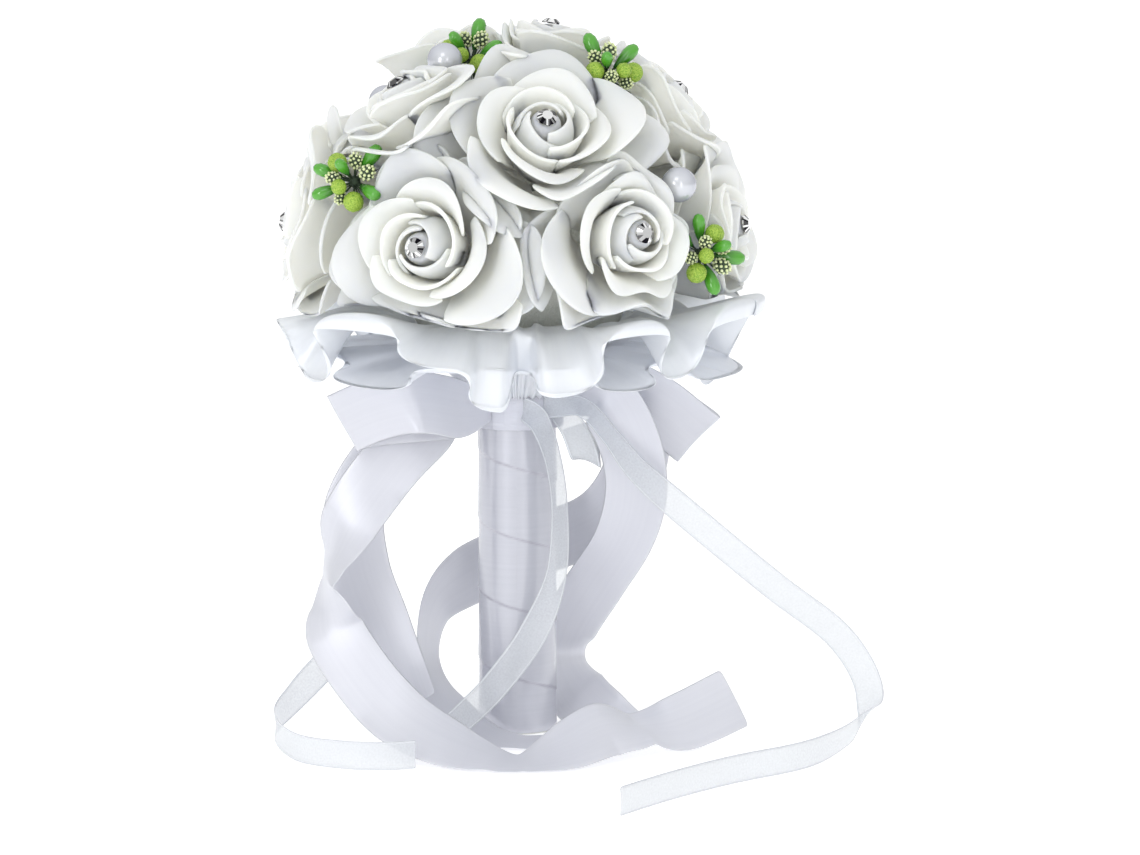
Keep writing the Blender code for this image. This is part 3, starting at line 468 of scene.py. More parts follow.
def room_of(index):
    """Planes as a point, an inward normal and whether petals may pass, from the ball's centre."""
    middle = rose_middle(*ROSES[index])
    planes = []
    for number, other in enumerate(ROSES):
        there = rose_middle(*other)
        if number != index and (there - middle).length < NEIGHBOUR_REACH:
            planes.append(((middle + there) / 2, (middle - there).normalized(), True))
    trims = [(direction(azimuth, rise), (far, PEARL_RADIUS + SEAT_GAP)) for azimuth, rise, far in PEARLS]
    trims += [(direction(*spray), (SPRAY_FAR, SPRAY_ROOM)) for spray in SPRAYS]
    for line, far in trims:
        if (line * TRIM_MIDDLE - middle).length < TRIM_REACH:
            planes.append((*plane_beside(middle, line, (ROSE_BASE, WIRE_ROOM), far), False))
    return planes


def hanging_share(azimuth):
    """How far the collar's edge hangs at an azimuth: 0 where it is raised, 1 where it hangs."""
    first = COLLAR_EDGE[0][0]
    azimuth = first + (azimuth - first) % 360
    for here, there in zip(COLLAR_EDGE, COLLAR_EDGE[1:] + COLLAR_EDGE[:1]):
        step = (there[0] - here[0]) % 360
        if azimuth <= here[0] + step:
            height = here[2] + (there[2] - here[2]) * (azimuth - here[0]) / step
            break
    return min(1, max(0, (RAISED - height) / (RAISED - HANGING)))


def collar_top(point):
    """Height that the collar leaves to a petal, from the ball's centre: petals droop into its lobes."""
    radius, height, slope = COLLAR_CONE
    reach = math.hypot(point.x, point.y)
    top = height + slope * (reach - radius) - BALL_CENTRE.z
    if reach > DROOP_START:
        share = min(1, (reach - DROOP_START) / (DROOP_END - DROOP_START))
        top -= DROOP * share * hanging_share(math.degrees(math.atan2(point.x, -point.y)))
    return top


def collar_distance(start, way):
    """How many millimetres a point can move along way before it meets the collar."""
    near, far = 0, FARTHEST_WALL
    for _ in range(HALVINGS):
        middle = (near + far) / 2
        point = start + way * middle * MM
        if point.z < collar_top(point):
            far = middle
        else:
            near = middle
    return near


def wall_distance(start, way, planes, over=0):
    """How many millimetres a point can move along way; over is how far it may pass a rose's wall."""
    nearest = collar_distance(start, way) + over
    for anchor, normal, passable in planes:
        closing = -way.dot(normal)
        if closing > 0:
            distance = max(0, (start - anchor).dot(normal) / closing) / MM
            nearest = min(nearest, distance + over if passable else distance)
    return nearest


print([len(room_of(index)) for index in range(len(ROSES))], "walls")

# %% [markdown]
# ## Petals
# A foam rose is glued up from its heart outwards: petals wound tightly round a bud, a cup around them,
# then wide ones whose rims roll back. Each petal is a grid bent by one rule with four stations, root,
# belly, throat and lip. A wall and one subdivision give the soft rim that warm foam takes. The wide
# layers turn outwards only near the top, which keeps the steps between rims shallow.

# %% The petal rule
PETAL_THICKNESS = 0.0013
ROOT_WIDTH = 0.3
WIDENING = 1.6
ROLL_START = 0.55
ROW_CROWDING = 1.6
ROUNDING_POWER = 1.7
WAVES = 4
WALL_MARGIN = (-0.6, 0.8)
WALL_LEAN = 0.9
OVERLAP_START = 0.077
OVERLAP_FULL = 0.087
OVERLAP_RISE = 0.3
PRESSED_RISE = 0.2
SHINGLE = 0.15
WIDEST = 50
SQUEEZE = 0.28
KNEE_WIDTH = 4
BALL_MARGIN = 0.0014
GEM_ROOM = 5.6

# Angles are degrees, rounding is a share and the rest is millimetres, in a station radius and height;
# over is how far a petal may lap over the next rose, and room is what it needs to be there at all
LAYERS = {
    "heart": dict(
        count=3, half_angle=80, root=(4, 13), belly=(14, 16), throat=(12.5, 38), lip=(7.6, 44.2), roll=0.0,
        spiral=2.4, edge_drop=0.6, rounding=0.08, start=20, wave=0.0, over=(0, 0), room=0,
    ),
    "cup": dict(
        count=3, half_angle=68, root=(4, 11), belly=(15.5, 16), throat=(13, 40), lip=(16, 44.5), roll=1.3,
        spiral=2.2, edge_drop=2.0, rounding=0.14, start=130, wave=0.5, over=(0, 0), room=0,
    ),
    "skirt": dict(
        count=4, half_angle=54, root=(4, 8), belly=(16, 22), throat=(18, 42), lip=(26.5, 42), roll=2.6,
        spiral=2.4, edge_drop=2.5, rounding=0.22, start=75, wave=1.6, over=(0, 4), room=0,
    ),
    "under": dict(
        count=5, half_angle=44, root=(3.6, 5), belly=(20, 14), throat=(25, 38), lip=(40, 37), roll=3.5,
        spiral=2.6, edge_drop=2.5, rounding=0.24, start=0, wave=2.3, over=(3, 12), room=22,
    ),
    "outer": dict(
        count=6, half_angle=36, root=(3.6, 4), belly=(26, 6), throat=(35, 31), lip=(53, 27), roll=4.0,
        spiral=2.6, edge_drop=2.5, rounding=0.26, start=30, wave=3.0, over=(4, 13), room=29,
    ),
}
LOW_ROSE_RISE = 30
ROSE_SEED = 100
# How far one rose or petal may differ, in the units of its layer
ROSE_SPREAD, TURN_SPREAD = (-10, 10), (-6, 6)
LIP_SPREADS, SPIRAL_SPREAD = ((-3, 3), (-3, 2)), (-3, 2)
ROUNDING_SPREAD = (-0.06, 0.06)
LOOSE_LIP = 40


def rose_petals(index):
    """The petals of a rose from heart to skirt, each with its own small differences."""
    draw = random.Random(ROSE_SEED + index)
    whole_turn = -90 if ROSES[index][0][1] < LOW_ROSE_RISE else 90
    whole_turn += draw.uniform(*ROSE_SPREAD)
    petals = []
    for layer in LAYERS.values():
        lip = layer["lip"]
        loose = lip[0] / LOOSE_LIP
        for number in range(layer["count"]):
            turn = whole_turn + layer["start"] + 360 * number / layer["count"]
            petal = dict(
                layer,
                turn=turn + draw.uniform(*TURN_SPREAD),
                lip=[mean + loose * draw.uniform(*spread) for mean, spread in zip(lip, LIP_SPREADS)],
                spiral=layer["spiral"] + loose * draw.uniform(*SPIRAL_SPREAD),
                rounding=layer["rounding"] + draw.uniform(*ROUNDING_SPREAD),
                phase=draw.uniform(0, math.tau),
                margin=draw.uniform(*WALL_MARGIN),
                over=draw.uniform(*layer["over"]),
            )
            petals.append(petal)
    return petals


def drawn_in(radius, wall):
    """A radius that stays short of the wall, and keeps its order among the other layers."""
    knee = (wall - SQUEEZE * WIDEST) / (1 - SQUEEZE)
    past = radius - knee
    return knee + SQUEEZE * past + (1 - SQUEEZE) * (past - math.hypot(past, KNEE_WIDTH)) / 2


def petal_polar(petal, across, along):
    """Radius, angle and height of a petal's middle surface; across is -1 to 1, along is 0 to 1."""
    reach = 1 - (1 - along) ** ROW_CROWDING
    reach *= 1 - petal["rounding"] * abs(across) ** ROUNDING_POWER
    rest = 1 - reach
    weights = (rest**3, 3 * reach * rest**2, 3 * reach**2 * rest, reach**3)
    stations = (petal["root"], petal["belly"], petal["throat"], petal["lip"])
    radius, height = (
        sum(weight * station[i] for weight, station in zip(weights, stations)) for i in (0, 1)
    )
    roll = max(0, reach - ROLL_START) / (1 - ROLL_START)
    radius += petal["spiral"] * across * reach
    height -= petal["roll"] * roll**3 * (0.5 + abs(across)) + petal["spiral"] * across * reach
    height -= petal["edge_drop"] * across**2 * reach**3
    height += petal["wave"] * math.sin(WAVES * across + petal["phase"]) * roll
    width = ROOT_WIDTH + (1 - ROOT_WIDTH) * math.sin(min(1, WIDENING * reach) * math.pi / 2)
    return radius, math.radians(petal["turn"] + across * petal["half_angle"] * width), height


def way_out(frame_of_rose, angle, height):
    """The point of a rose's axis at a height, and the way out from there at an angle."""
    way = frame_of_rose.to_3x3() @ Vector((math.cos(angle), math.sin(angle), 0))
    return frame_of_rose @ Vector((0, 0, height * MM)), way


def has_room(petal, frame_of_rose, planes):
    """Whether the way that a petal leans is as open as its layer needs."""
    start, way = way_out(frame_of_rose, math.radians(petal["turn"]), petal["lip"][1])
    return wall_distance(start, way, planes) >= petal["room"]


def petal_point(petal, frame_of_rose, planes, across, along):
    """A point of a petal from the world's origin: its own curve, drawn in where a wall is near."""
    radius, angle, height = petal_polar(petal, across, along)
    start, way = way_out(frame_of_rose, angle, height)
    outward = (start + way * radius * MM).length
    surfaced = min(1, max(0, (outward - OVERLAP_START) / (OVERLAP_FULL - OVERLAP_START)))
    over = petal["over"] * surfaced**2 * (3 - 2 * surfaced)
    # One side of a petal lies under its neighbour and the other over it, at a wall too
    margin = petal["margin"] - WALL_LEAN * across * along
    wall = wall_distance(start, way, planes, over) - margin
    pressed = max(0, radius - drawn_in(radius, wall))
    height += PRESSED_RISE * pressed + OVERLAP_RISE * over
    start, way = way_out(frame_of_rose, angle, height)
    wall = wall_distance(start, way, planes, over) - margin
    radius = max(drawn_in(radius, wall), min(radius, GEM_ROOM))
    point = start + way * radius * MM
    if point.length < BALL_RADIUS + BALL_MARGIN:
        point = point.normalized() * (BALL_RADIUS + BALL_MARGIN)
    point.z = max(point.z, collar_top(point) + SHINGLE * petal["over"] * MM)
    return point + BALL_CENTRE


# %% Roses
PETAL_CELLS = (12, 10)
CAP_PROFILE = ((0, 43.4), (3.2, 43.3), (4.6, 42.6), (5.4, 41), (6.0, 37), (6.2, 28), (6, 18), (5, 10))
CAP_SIDES = 24
CAP_DEPTH = 0.5


def mark_fresh(bm):
    """The vertices made since the last call, now marked as known."""
    fresh = [vert for vert in bm.verts if not vert.tag]
    for vert in fresh:
        vert.tag = True
    return fresh


def set_finish(verts, number):
    for face in {face for vert in verts for face in vert.link_faces}:
        face.material_index = number


def turned(bm, profile, sides, matrix):
    """Turns (radius, height) points about Z by one full spin."""
    verts = [bm.verts.new((radius * MM, 0, height * MM)) for radius, height in profile]
    edges = [bm.edges.new(pair) for pair in zip(verts, verts[1:])]
    bmesh.ops.spin(
        bm, geom=verts + edges, cent=(0, 0, 0), axis=(0, 0, 1), angle=math.tau, steps=sides, use_merge=True
    )
    bmesh.ops.remove_doubles(bm, verts=[vert for vert in bm.verts if not vert.tag], dist=1e-6)
    fresh = mark_fresh(bm)
    bmesh.ops.recalc_face_normals(bm, faces=list({face for vert in fresh for face in vert.link_faces}))
    bmesh.ops.transform(bm, matrix=matrix, verts=fresh)
    return fresh


def add_rose(index):
    """One bloom: the bud that fills its heart, and each petal that has room."""
    root, facing = ROSES[index]
    frame_of_rose = frame_along(direction(*facing), direction(*root) * ROSE_BASE)
    planes = room_of(index)
    bm = bmesh.new()
    depth = bm.verts.layers.float.new("depth")
    # The bud's painted light is set halfway between a petal's deep root and its rim
    for vert in turned(bm, CAP_PROFILE, CAP_SIDES, Matrix.Translation(BALL_CENTRE) @ frame_of_rose):
        vert[depth] = CAP_DEPTH
    for petal in rose_petals(index):
        if not has_room(petal, frame_of_rose, planes):
            continue
        grid = bmesh.ops.create_grid(bm, x_segments=PETAL_CELLS[0], y_segments=PETAL_CELLS[1], size=0.5)
        for vert in grid["verts"]:
            across, along = 2 * vert.co.x, vert.co.y + 0.5
            vert.co = petal_point(petal, frame_of_rose, planes, across, along)
            # depth runs from 0 at the root to 1 at the lip; the foam paints light by it, lighter and cream
            # at the root
            vert[depth] = along
            vert.tag = True
    rose = finished(f"foam_rose_{index + 1:02d}", bm, [foam], f"rose_{index + 1:02d}", "foam_white")
    finish_sheet(rose, PETAL_THICKNESS)
    return rose


roses = [add_rose(index) for index in range(len(ROSES))]
print(len(roses), "roses of", sum(layer["count"] for layer in LAYERS.values()), "petals")

# %% [markdown]
# ## Rhinestones
# A round brilliant has a flat table, a ring of sloping crown facets and a girdle. A truncated cone
# gives the table and eight slopes, and a bevel on its slanting edges the narrow facets between them.

# %% Rhinestones
GEM_SEAT = 43.8
GIRDLE_RADIUS, TABLE_RADIUS = 4.1, 2.2
CROWN_LOW, CROWN_HEIGHT = 1.2, 1.5
GIRDLE_HEIGHT = 0.5
STAR_FACET = 0.75
STONE_SEED = 500
# Painted reflections: the tones that the faces are painted, from near black to white
PAINTED_FACET_REFLECTIONS = (0.0, 0.12, 0.45, 0.9, 1.0)
PAINTED_TABLE_REFLECTION = 0.85


def steady_order(faces):
    """The faces as they come, but the girdle's sorted, which an extrusion leaves in any order."""
    middles = {face: [round(part / MM, 2) for part in face.calc_center_median()] for face in faces}
    girdle = sorted((face for face in faces if middles[face][2] < CROWN_LOW), key=middles.get)
    turns = iter(girdle)
    return [next(turns) if face in girdle else face for face in faces]


def add_rhinestone(index):
    """A stone on a rose's bud, without the face that nobody sees."""
    root, facing = ROSES[index]
    seat = BALL_CENTRE + direction(*root) * ROSE_BASE
    place = frame_along(direction(*facing), seat) @ Matrix.Translation((0, 0, GEM_SEAT * MM))
    bm = bmesh.new()
    low, high = CROWN_LOW * MM, (CROWN_LOW + CROWN_HEIGHT) * MM
    rod(bm, Matrix(), low, high, GIRDLE_RADIUS * MM, 8, TABLE_RADIUS * MM)
    slopes = [edge for edge in bm.edges if abs(edge.verts[0].co.z - edge.verts[1].co.z) > 1 * MM]
    bmesh.ops.bevel(
        bm, geom=slopes, offset=STAR_FACET * MM, offset_type="OFFSET", affect="EDGES", segments=2,
        profile=0.5, material=-1,
    )
    bottom = [face for face in bm.faces if face.calc_center_median().z < low + 0.1 * MM]
    pushed = bmesh.ops.extrude_face_region(bm, geom=bottom)
    girdle = [item for item in pushed["geom"] if isinstance(item, bmesh.types.BMVert)]
    bmesh.ops.translate(bm, verts=girdle, vec=(0, 0, -GIRDLE_HEIGHT * MM))
    bmesh.ops.delete(bm, geom=bottom, context="FACES")
    bmesh.ops.recalc_face_normals(bm, faces=bm.faces)
    # Painted reflection: each face gets a random tone, and the table a fixed light one
    draw = random.Random(STONE_SEED + index)
    facet = bm.faces.layers.float.new("facet")
    for face in steady_order(bm.faces):
        face[facet] = draw.choice(PAINTED_FACET_REFLECTIONS)
        if face.normal.z > 0.99:
            face[facet] = PAINTED_TABLE_REFLECTION
    bmesh.ops.transform(bm, matrix=place, verts=bm.verts)
    name = f"cut_stone_{index + 1:02d}"
    return finished(name, bm, [rhinestone], f"gem_{index + 1:02d}", "rhinestone", smooth=False)


stones = [add_rhinestone(index) for index in range(len(ROSES))]
print(len(stones), "stones")

# %% [markdown]
# ## Pearls
# A bead glued on a wire: a sphere with enough sides for a clean highlight, and a thin rod that goes
# into the ball.

# %% Pearls
WIRE_RADIUS = 0.8
WIRE_DEPTH = 14
WIRE_SIDES = 10


def add_pearl(number):
    azimuth, elevation, distance = PEARLS[number]
    place = frame_along(direction(azimuth, elevation), BALL_CENTRE)
    bm = bmesh.new()
    seat = place @ Matrix.Translation((0, 0, distance))
    bmesh.ops.create_uvsphere(bm, u_segments=48, v_segments=24, radius=PEARL_RADIUS, matrix=seat)
    low, high = BALL_RADIUS - WIRE_DEPTH * MM, distance - 0.9 * PEARL_RADIUS
    wire = rod(bm, place, low, high, WIRE_RADIUS * MM, WIRE_SIDES)
    set_finish(wire["verts"], 1)
    return finished(f"lacquer_pearl_{number + 1}", bm, [pearl, wire_green], f"pearl_{number + 1}", "pearl")


pearls = [add_pearl(number) for number in range(len(PEARLS))]
print(len(pearls), "pearls of", round(2 * PEARL_RADIUS / MM, 1), "mm")

# %% [markdown]
# ## Berry sprays
# A florist's pick: a wire whose end splits into stalks with glossy drops, sugared berries, tufts of
# seed beads and stiff bristles. A drop is turned from a profile, a sugared berry is a ball roughened by
# noise, and a tuft is a spiral of tiny balls over an egg.

# %% Berry sprays
SPRAY_HUBS = (87, 86, 86, 79, 84, 84)
SPRAY_SEED = 300
SPRAY_TURNS = (0, 60, 300, 40, 0, 120)
# Kind, tilt and turn in degrees, distance in millimetres and size
BERRIES = (
    ("glossy", 20, 100, 10.0, 0.9), ("glossy", 74, 50, 11.5, 1.15), ("glossy", 70, 165, 11.0, 1.0),
    ("glossy", 76, 205, 11.5, 1.0), ("glossy", 66, 335, 11.0, 1.1), ("sugared", 52, 130, 10.0, 1.0),
    ("sugared", 62, 290, 10.5, 1.05), ("sugared", 24, 250, 10.5, 0.8), ("seeds", 58, 20, 9.5, 1.0),
    ("seeds", 56, 75, 9.0, 0.9), ("seeds", 34, 185, 9.5, 0.85), ("seeds", 60, 250, 9.0, 0.8),
)
GLOSSY_PROFILE = (
    (0, -6.0), (0.6, -5.8), (1.3, -4.0), (2.1, -1.4), (2.55, 1.4), (2.4, 3.6), (1.5, 5.3), (0, 6.0),
)
DROP_HALF, DEEP_GREEN = 6, 8
HUB_RADIUS = 2.4
STALK_RADIUS = 0.45
SUGARED_RADIUS = 3.7
SUGAR_GRAIN = 0.55
SUGAR_HEIGHT = 0.28
SEED_BEADS = 34
SEED_RADIUS = 0.68
SEED_EGG = (2.7, 3.5)
GOLDEN_TURN = math.pi * (3 - math.sqrt(5))
BRISTLES = 22
BRISTLE_RADII = (0.3, 0.12)
BRISTLE_LEAN, BRISTLE_LENGTH = (60, 100), (7, 12)


def leaning(hub, lean, around):
    """A frame at the hub whose Z leans away from the hub's own, both angles in radians."""
    way = Vector((math.sin(lean) * math.cos(around), math.sin(lean) * math.sin(around), math.cos(lean)))
    return frame_along(hub.to_3x3() @ way, hub.translation)


def add_spray(number):
    """A pick's wire and hub, its berries on their stalks, and its bristles."""
    line = direction(*SPRAYS[number])
    reach = SPRAY_HUBS[number]
    stem = frame_along(line, BALL_CENTRE + line * reach * MM)
    hub = frame_along(direction(*SPRAY_FACINGS[number]), stem.translation)
    draw = random.Random(SPRAY_SEED + number)
    bm = bmesh.new()
    depth = bm.verts.layers.float.new("depth")
    low = BALL_RADIUS - WIRE_DEPTH * MM - reach * MM
    rod(bm, stem, low, 0, WIRE_RADIUS * MM, WIRE_SIDES)
    bmesh.ops.create_icosphere(bm, subdivisions=2, radius=HUB_RADIUS * MM, matrix=hub)
    set_finish(mark_fresh(bm), 3)
    for kind, tilt, turn, distance, size in BERRIES:
        stalk = leaning(hub, math.radians(tilt), math.radians(turn + SPRAY_TURNS[number]))
        berry = stalk @ Matrix.Translation((0, 0, distance * MM)) @ Matrix.Scale(size, 4)
        rod(bm, stalk, 0, distance * MM, STALK_RADIUS * MM, 6)
        set_finish(mark_fresh(bm), 3)
        if kind == "glossy":
            drop = turned(bm, GLOSSY_PROFILE, 16, berry)
            set_finish(drop, 0)
            for vert in drop:
                above = (berry.inverted() @ vert.co).z / MM + DROP_HALF
                vert[depth] = min(1, max(0, above / DEEP_GREEN))
        elif kind == "sugared":
            bmesh.ops.create_icosphere(bm, subdivisions=4, radius=SUGARED_RADIUS * MM, matrix=berry)
            ball = mark_fresh(bm)
            set_finish(ball, 1)
            for vert in ball:
                grain = noise.noise(vert.co / (SUGAR_GRAIN * MM)) * SUGAR_HEIGHT * MM
                vert.co += (vert.co - berry.translation).normalized() * grain
        else:
            bmesh.ops.create_icosphere(bm, subdivisions=2, radius=SEED_EGG[0] * MM, matrix=berry)
            set_finish(mark_fresh(bm), 3)
            for bead in range(SEED_BEADS):
                high = 1 - 2 * (bead + 0.5) / SEED_BEADS
                spin = bead * GOLDEN_TURN
                wide = SEED_EGG[0] * math.sqrt(1 - high * high)
                egg = Vector((wide * math.cos(spin), wide * math.sin(spin), SEED_EGG[1] * high)) * MM
                bead_place = berry @ Matrix.Translation(egg)
                bmesh.ops.create_icosphere(bm, subdivisions=1, radius=SEED_RADIUS * MM, matrix=bead_place)
            set_finish(mark_fresh(bm), 2)
    for _ in range(BRISTLES):
        lean, around = math.radians(draw.uniform(*BRISTLE_LEAN)), draw.uniform(0, math.tau)
        length = draw.uniform(*BRISTLE_LENGTH) * MM
        rod(bm, leaning(hub, lean, around), 0, length, BRISTLE_RADII[0] * MM, 5, BRISTLE_RADII[1] * MM)
    set_finish(mark_fresh(bm), 3)
    finishes = [glossy_green, sugar_green, seed_cream, wire_green]
    name = f"berry_pick_{number + 1}"
    return finished(name, bm, finishes, f"berry_spray_{number + 1}", "berry_green")


sprays = [add_spray(number) for number in range(len(SPRAYS))]
print(len(sprays), "sprays of", len(BERRIES), "berries")

# %% [markdown]
# ## The wrapped handle
# Satin ribbon is wound round the handle, each turn a little over the last, so its edge makes a low
# step that climbs round. An open tube of cells follows it: the radius is largest at the edge and falls
# away above it.

# %% Handle wrap
# Lengths in millimetres; a phase is a share of one turn's width
HANDLE_RADIUS, WRAP_RADIUS = 16, 15.45
WRAP_LOW, WRAP_TOP = 0.6, 139
WRAP_PITCH = 28.3
WRAP_PHASE = 0.2
WRAP_STEP = 0.42
WRAP_UNEVEN = 0.1
SEAM_SHADOW_WIDTH = 0.7
FOOT, FOOT_FLARE = 12, 0.35
EDGE_HEIGHT, EDGE_DEPTH = 2.5, 0.25
WRAP_CELLS = (96, 220)


def cloth_grid(bm, columns, rows, place, cloth_size):
    """A grid bent by place(column share, row share), with a UV map in metres."""
    uv = bm.loops.layers.uv.new("cloth")
    bmesh.ops.create_grid(bm, x_segments=columns, y_segments=rows, size=0.5)
    shares = {vert: (vert.co.x + 0.5, vert.co.y + 0.5) for vert in bm.verts}
    for face in bm.faces:
        for corner in face.loops:
            column, row = shares[corner.vert]
            corner[uv].uv = cloth_size(column, row)
    for vert, share in shares.items():
        vert.co = place(*share)


def wrap_phase(column, height):
    """Share of a turn's width, 0 at the ribbon's edge."""
    return (height / WRAP_PITCH + column + WRAP_PHASE) % 1


def wrap_place(column, row):
    turn = column * math.tau
    height = WRAP_LOW + row * (WRAP_TOP - WRAP_LOW)
    radius = WRAP_RADIUS + WRAP_STEP * (1 - wrap_phase(column, height)) ** 1.5
    radius += FOOT_FLARE * max(0, 1 - height / FOOT) ** 2
    radius -= EDGE_DEPTH * (1 - math.sin(min(1, height / EDGE_HEIGHT) * math.pi / 2))
    radius += WRAP_UNEVEN * noise.noise(Vector((column * 5, height / 40, 0)))
    return Vector((radius * MM * math.sin(turn), -radius * MM * math.cos(turn), height * MM))


bm = bmesh.new()
seam_shadow = bm.verts.layers.float.new("seam_shadow")
height, girth = WRAP_TOP * MM, math.tau * HANDLE_RADIUS * MM
cloth_grid(bm, *WRAP_CELLS, wrap_place, lambda column, row: (row * height, column * girth))
# Painted shadow: 1 at each overlapping edge of the wrap, fading to 0 within 0.7 mm of it
for vert in bm.verts:
    turn = math.atan2(vert.co.x, -vert.co.y) / math.tau
    phase = wrap_phase(turn, vert.co.z / MM)
    vert[seam_shadow] = max(0, 1 - min(phase, 1 - phase) * WRAP_PITCH / SEAM_SHADOW_WIDTH)
bmesh.ops.remove_doubles(bm, verts=bm.verts, dist=1e-6)
bmesh.ops.recalc_face_normals(bm, faces=bm.faces)
finished("satin_wrap", bm, [wound_satin_painted_darker], "handle_wrap", "satin_white")
print("wrap of", round(WRAP_TOP / WRAP_PITCH, 1), "turns")

# %% [markdown]
# ## The collar
# A strip of thin satin is gathered under the flowers and its free edge flares into folds. The edge is
# a chain of knots, mostly hanging and raised in turn, joined by smooth steps, and rows lead from the
# gathering out to it. Where it is raised its rim rolls over. A narrower ruffle lines its open folds.

# %% Ruffle collar
CLOTH_THICKNESS = 0.0004
COLLAR_ROWS = ((0.0240, 0.1453, 0), (0.0470, 0.1645, 0), (0.0680, 0.1690, 0))
COLLAR_MEAN = 0.164
RIM_ROLL, RIM_STEP = 0.55, 0.0015
COLLAR_SWING = 1.5
WIDE_FOLD = 9
GATHERS, GATHER_HEIGHT = 46, 0.0007
CREASES, CREASE_HEIGHT = 23, 0.0012
RUFFLE_CELLS = (14 * len(COLLAR_EDGE), 20)
UNDER_ROWS = ((0.0191, 0.1360, 0), (0.0300, 0.1470, 0), (0.0440, 0.1560, 0))
UNDER_REACH = 0.9
UNDER_HEIGHTS = (0.1470, 0.1560)
UNDER_EDGE = tuple(
    (azimuth, radius * UNDER_REACH, UNDER_HEIGHTS[height < COLLAR_MEAN])
    for azimuth, radius, height in COLLAR_EDGE
)


def ruffle_edge(knots, share, swing):
    """Radius, height and azimuth of the free edge, share 0 to 1 round the ruffle. The swing carries
    the edge past its knots, so the folds lean over each other."""
    place = share * len(knots)
    number = min(int(place + 1e-6), len(knots) - 1)
    part = place - number
    here, there = knots[number], knots[(number + 1) % len(knots)]
    end_azimuth = there[0] + (360 if there[0] < here[0] else 0)
    ease = (1 - math.cos(math.pi * part)) / 2
    swing *= min(1, (end_azimuth - here[0]) / WIDE_FOLD)
    swung = part + swing * math.sin(math.tau * part) / math.tau
    return (
        here[1] + (there[1] - here[1]) * ease,
        here[2] + (there[2] - here[2]) * ease,
        math.radians(here[0] + (end_azimuth - here[0]) * swung),
    )


def ruffle_place(knots, rows, mean_height, column, row):
    """A point of a ruffle: column 0 to 1 goes round, row 0 to 1 goes from the gathering to the edge."""
    edge_radius, edge_height, azimuth = ruffle_edge(knots, column % 1, COLLAR_SWING * row**1.5)
    stations = [(radius, height + share * (edge_height - mean_height)) for radius, height, share in rows]
    stations.append((edge_radius, edge_height))
    rolled = RIM_ROLL * max(0, edge_height - mean_height)
    stations.append((edge_radius + RIM_STEP, edge_height - rolled))
    place = row * (len(stations) - 1)
    number = min(int(place), len(stations) - 2)
    t = place - number
    near = stations[max(number - 1, 0)], stations[number], stations[number + 1]
    radius, height = (
        curve_through(*four, t) for four in zip(*near, stations[min(number + 2, len(stations) - 1)])
    )
    turn = column * math.tau
    height += GATHER_HEIGHT * math.sin(turn * GATHERS) * (1 - row) ** 2
    height += CREASE_HEIGHT * math.sin(turn * CREASES + 3 * row) * (1 - row) * min(1, 3 * row)
    return Vector((radius * math.sin(azimuth), -radius * math.cos(azimuth), height))


def add_ruffle(name, knots, rows, mean_height, strip, length, node=None):
    """A strip of thin satin, gathered and closed to a ring, with the flat size that it is made from."""
    bm = bmesh.new()
    cloth_grid(
        bm,
        *RUFFLE_CELLS,
        lambda column, row: ruffle_place(knots, rows, mean_height, column, row),
        lambda column, row: (column * length, row * strip),
    )
    bmesh.ops.remove_doubles(bm, verts=bm.verts, dist=1e-6)
    bmesh.ops.recalc_face_normals(bm, faces=bm.faces)
    made = finished(name, bm, [thin_satin_painted_lighter], node, "satin_white")
    finish_sheet(made, CLOTH_THICKNESS)
    print(name, "from a strip of", round(strip / MM), "by", round(length / MM), "mm")


add_ruffle(
    "satin_ruffle", COLLAR_EDGE, COLLAR_ROWS, COLLAR_MEAN, 0.074, 0.46, "ruffle_collar"
)
add_ruffle(
    "satin_under_ruffle", UNDER_EDGE, UNDER_ROWS, sum(UNDER_HEIGHTS) / 2, 0.058, 0.38
)

# %% [markdown]
# ## Ribbons
# A ribbon is a route, in millimetres, and the way its width points along it, as a florist lays it by
# hand: out of the knot, down, a turn, then along the table. The knot pinches it narrow, and across its
# width it keeps a slight curl, which makes satin shine in a line.

# %% Ribbon routes
SATIN_WIDTH = 0.025
PINCHED_WIDTH = 0.009
PINCH_LENGTH = 0.030
FLOOR_CLEARANCE = 0.0008
BAND_RADIUS = 18.9
ORGANZA_THICKNESS = 0.0002


def band_point(azimuth, height):
    """A point just off the tie band, in millimetres."""
    turn = math.radians(azimuth)
    return BAND_RADIUS * math.sin(turn), -BAND_RADIUS * math.cos(turn), height


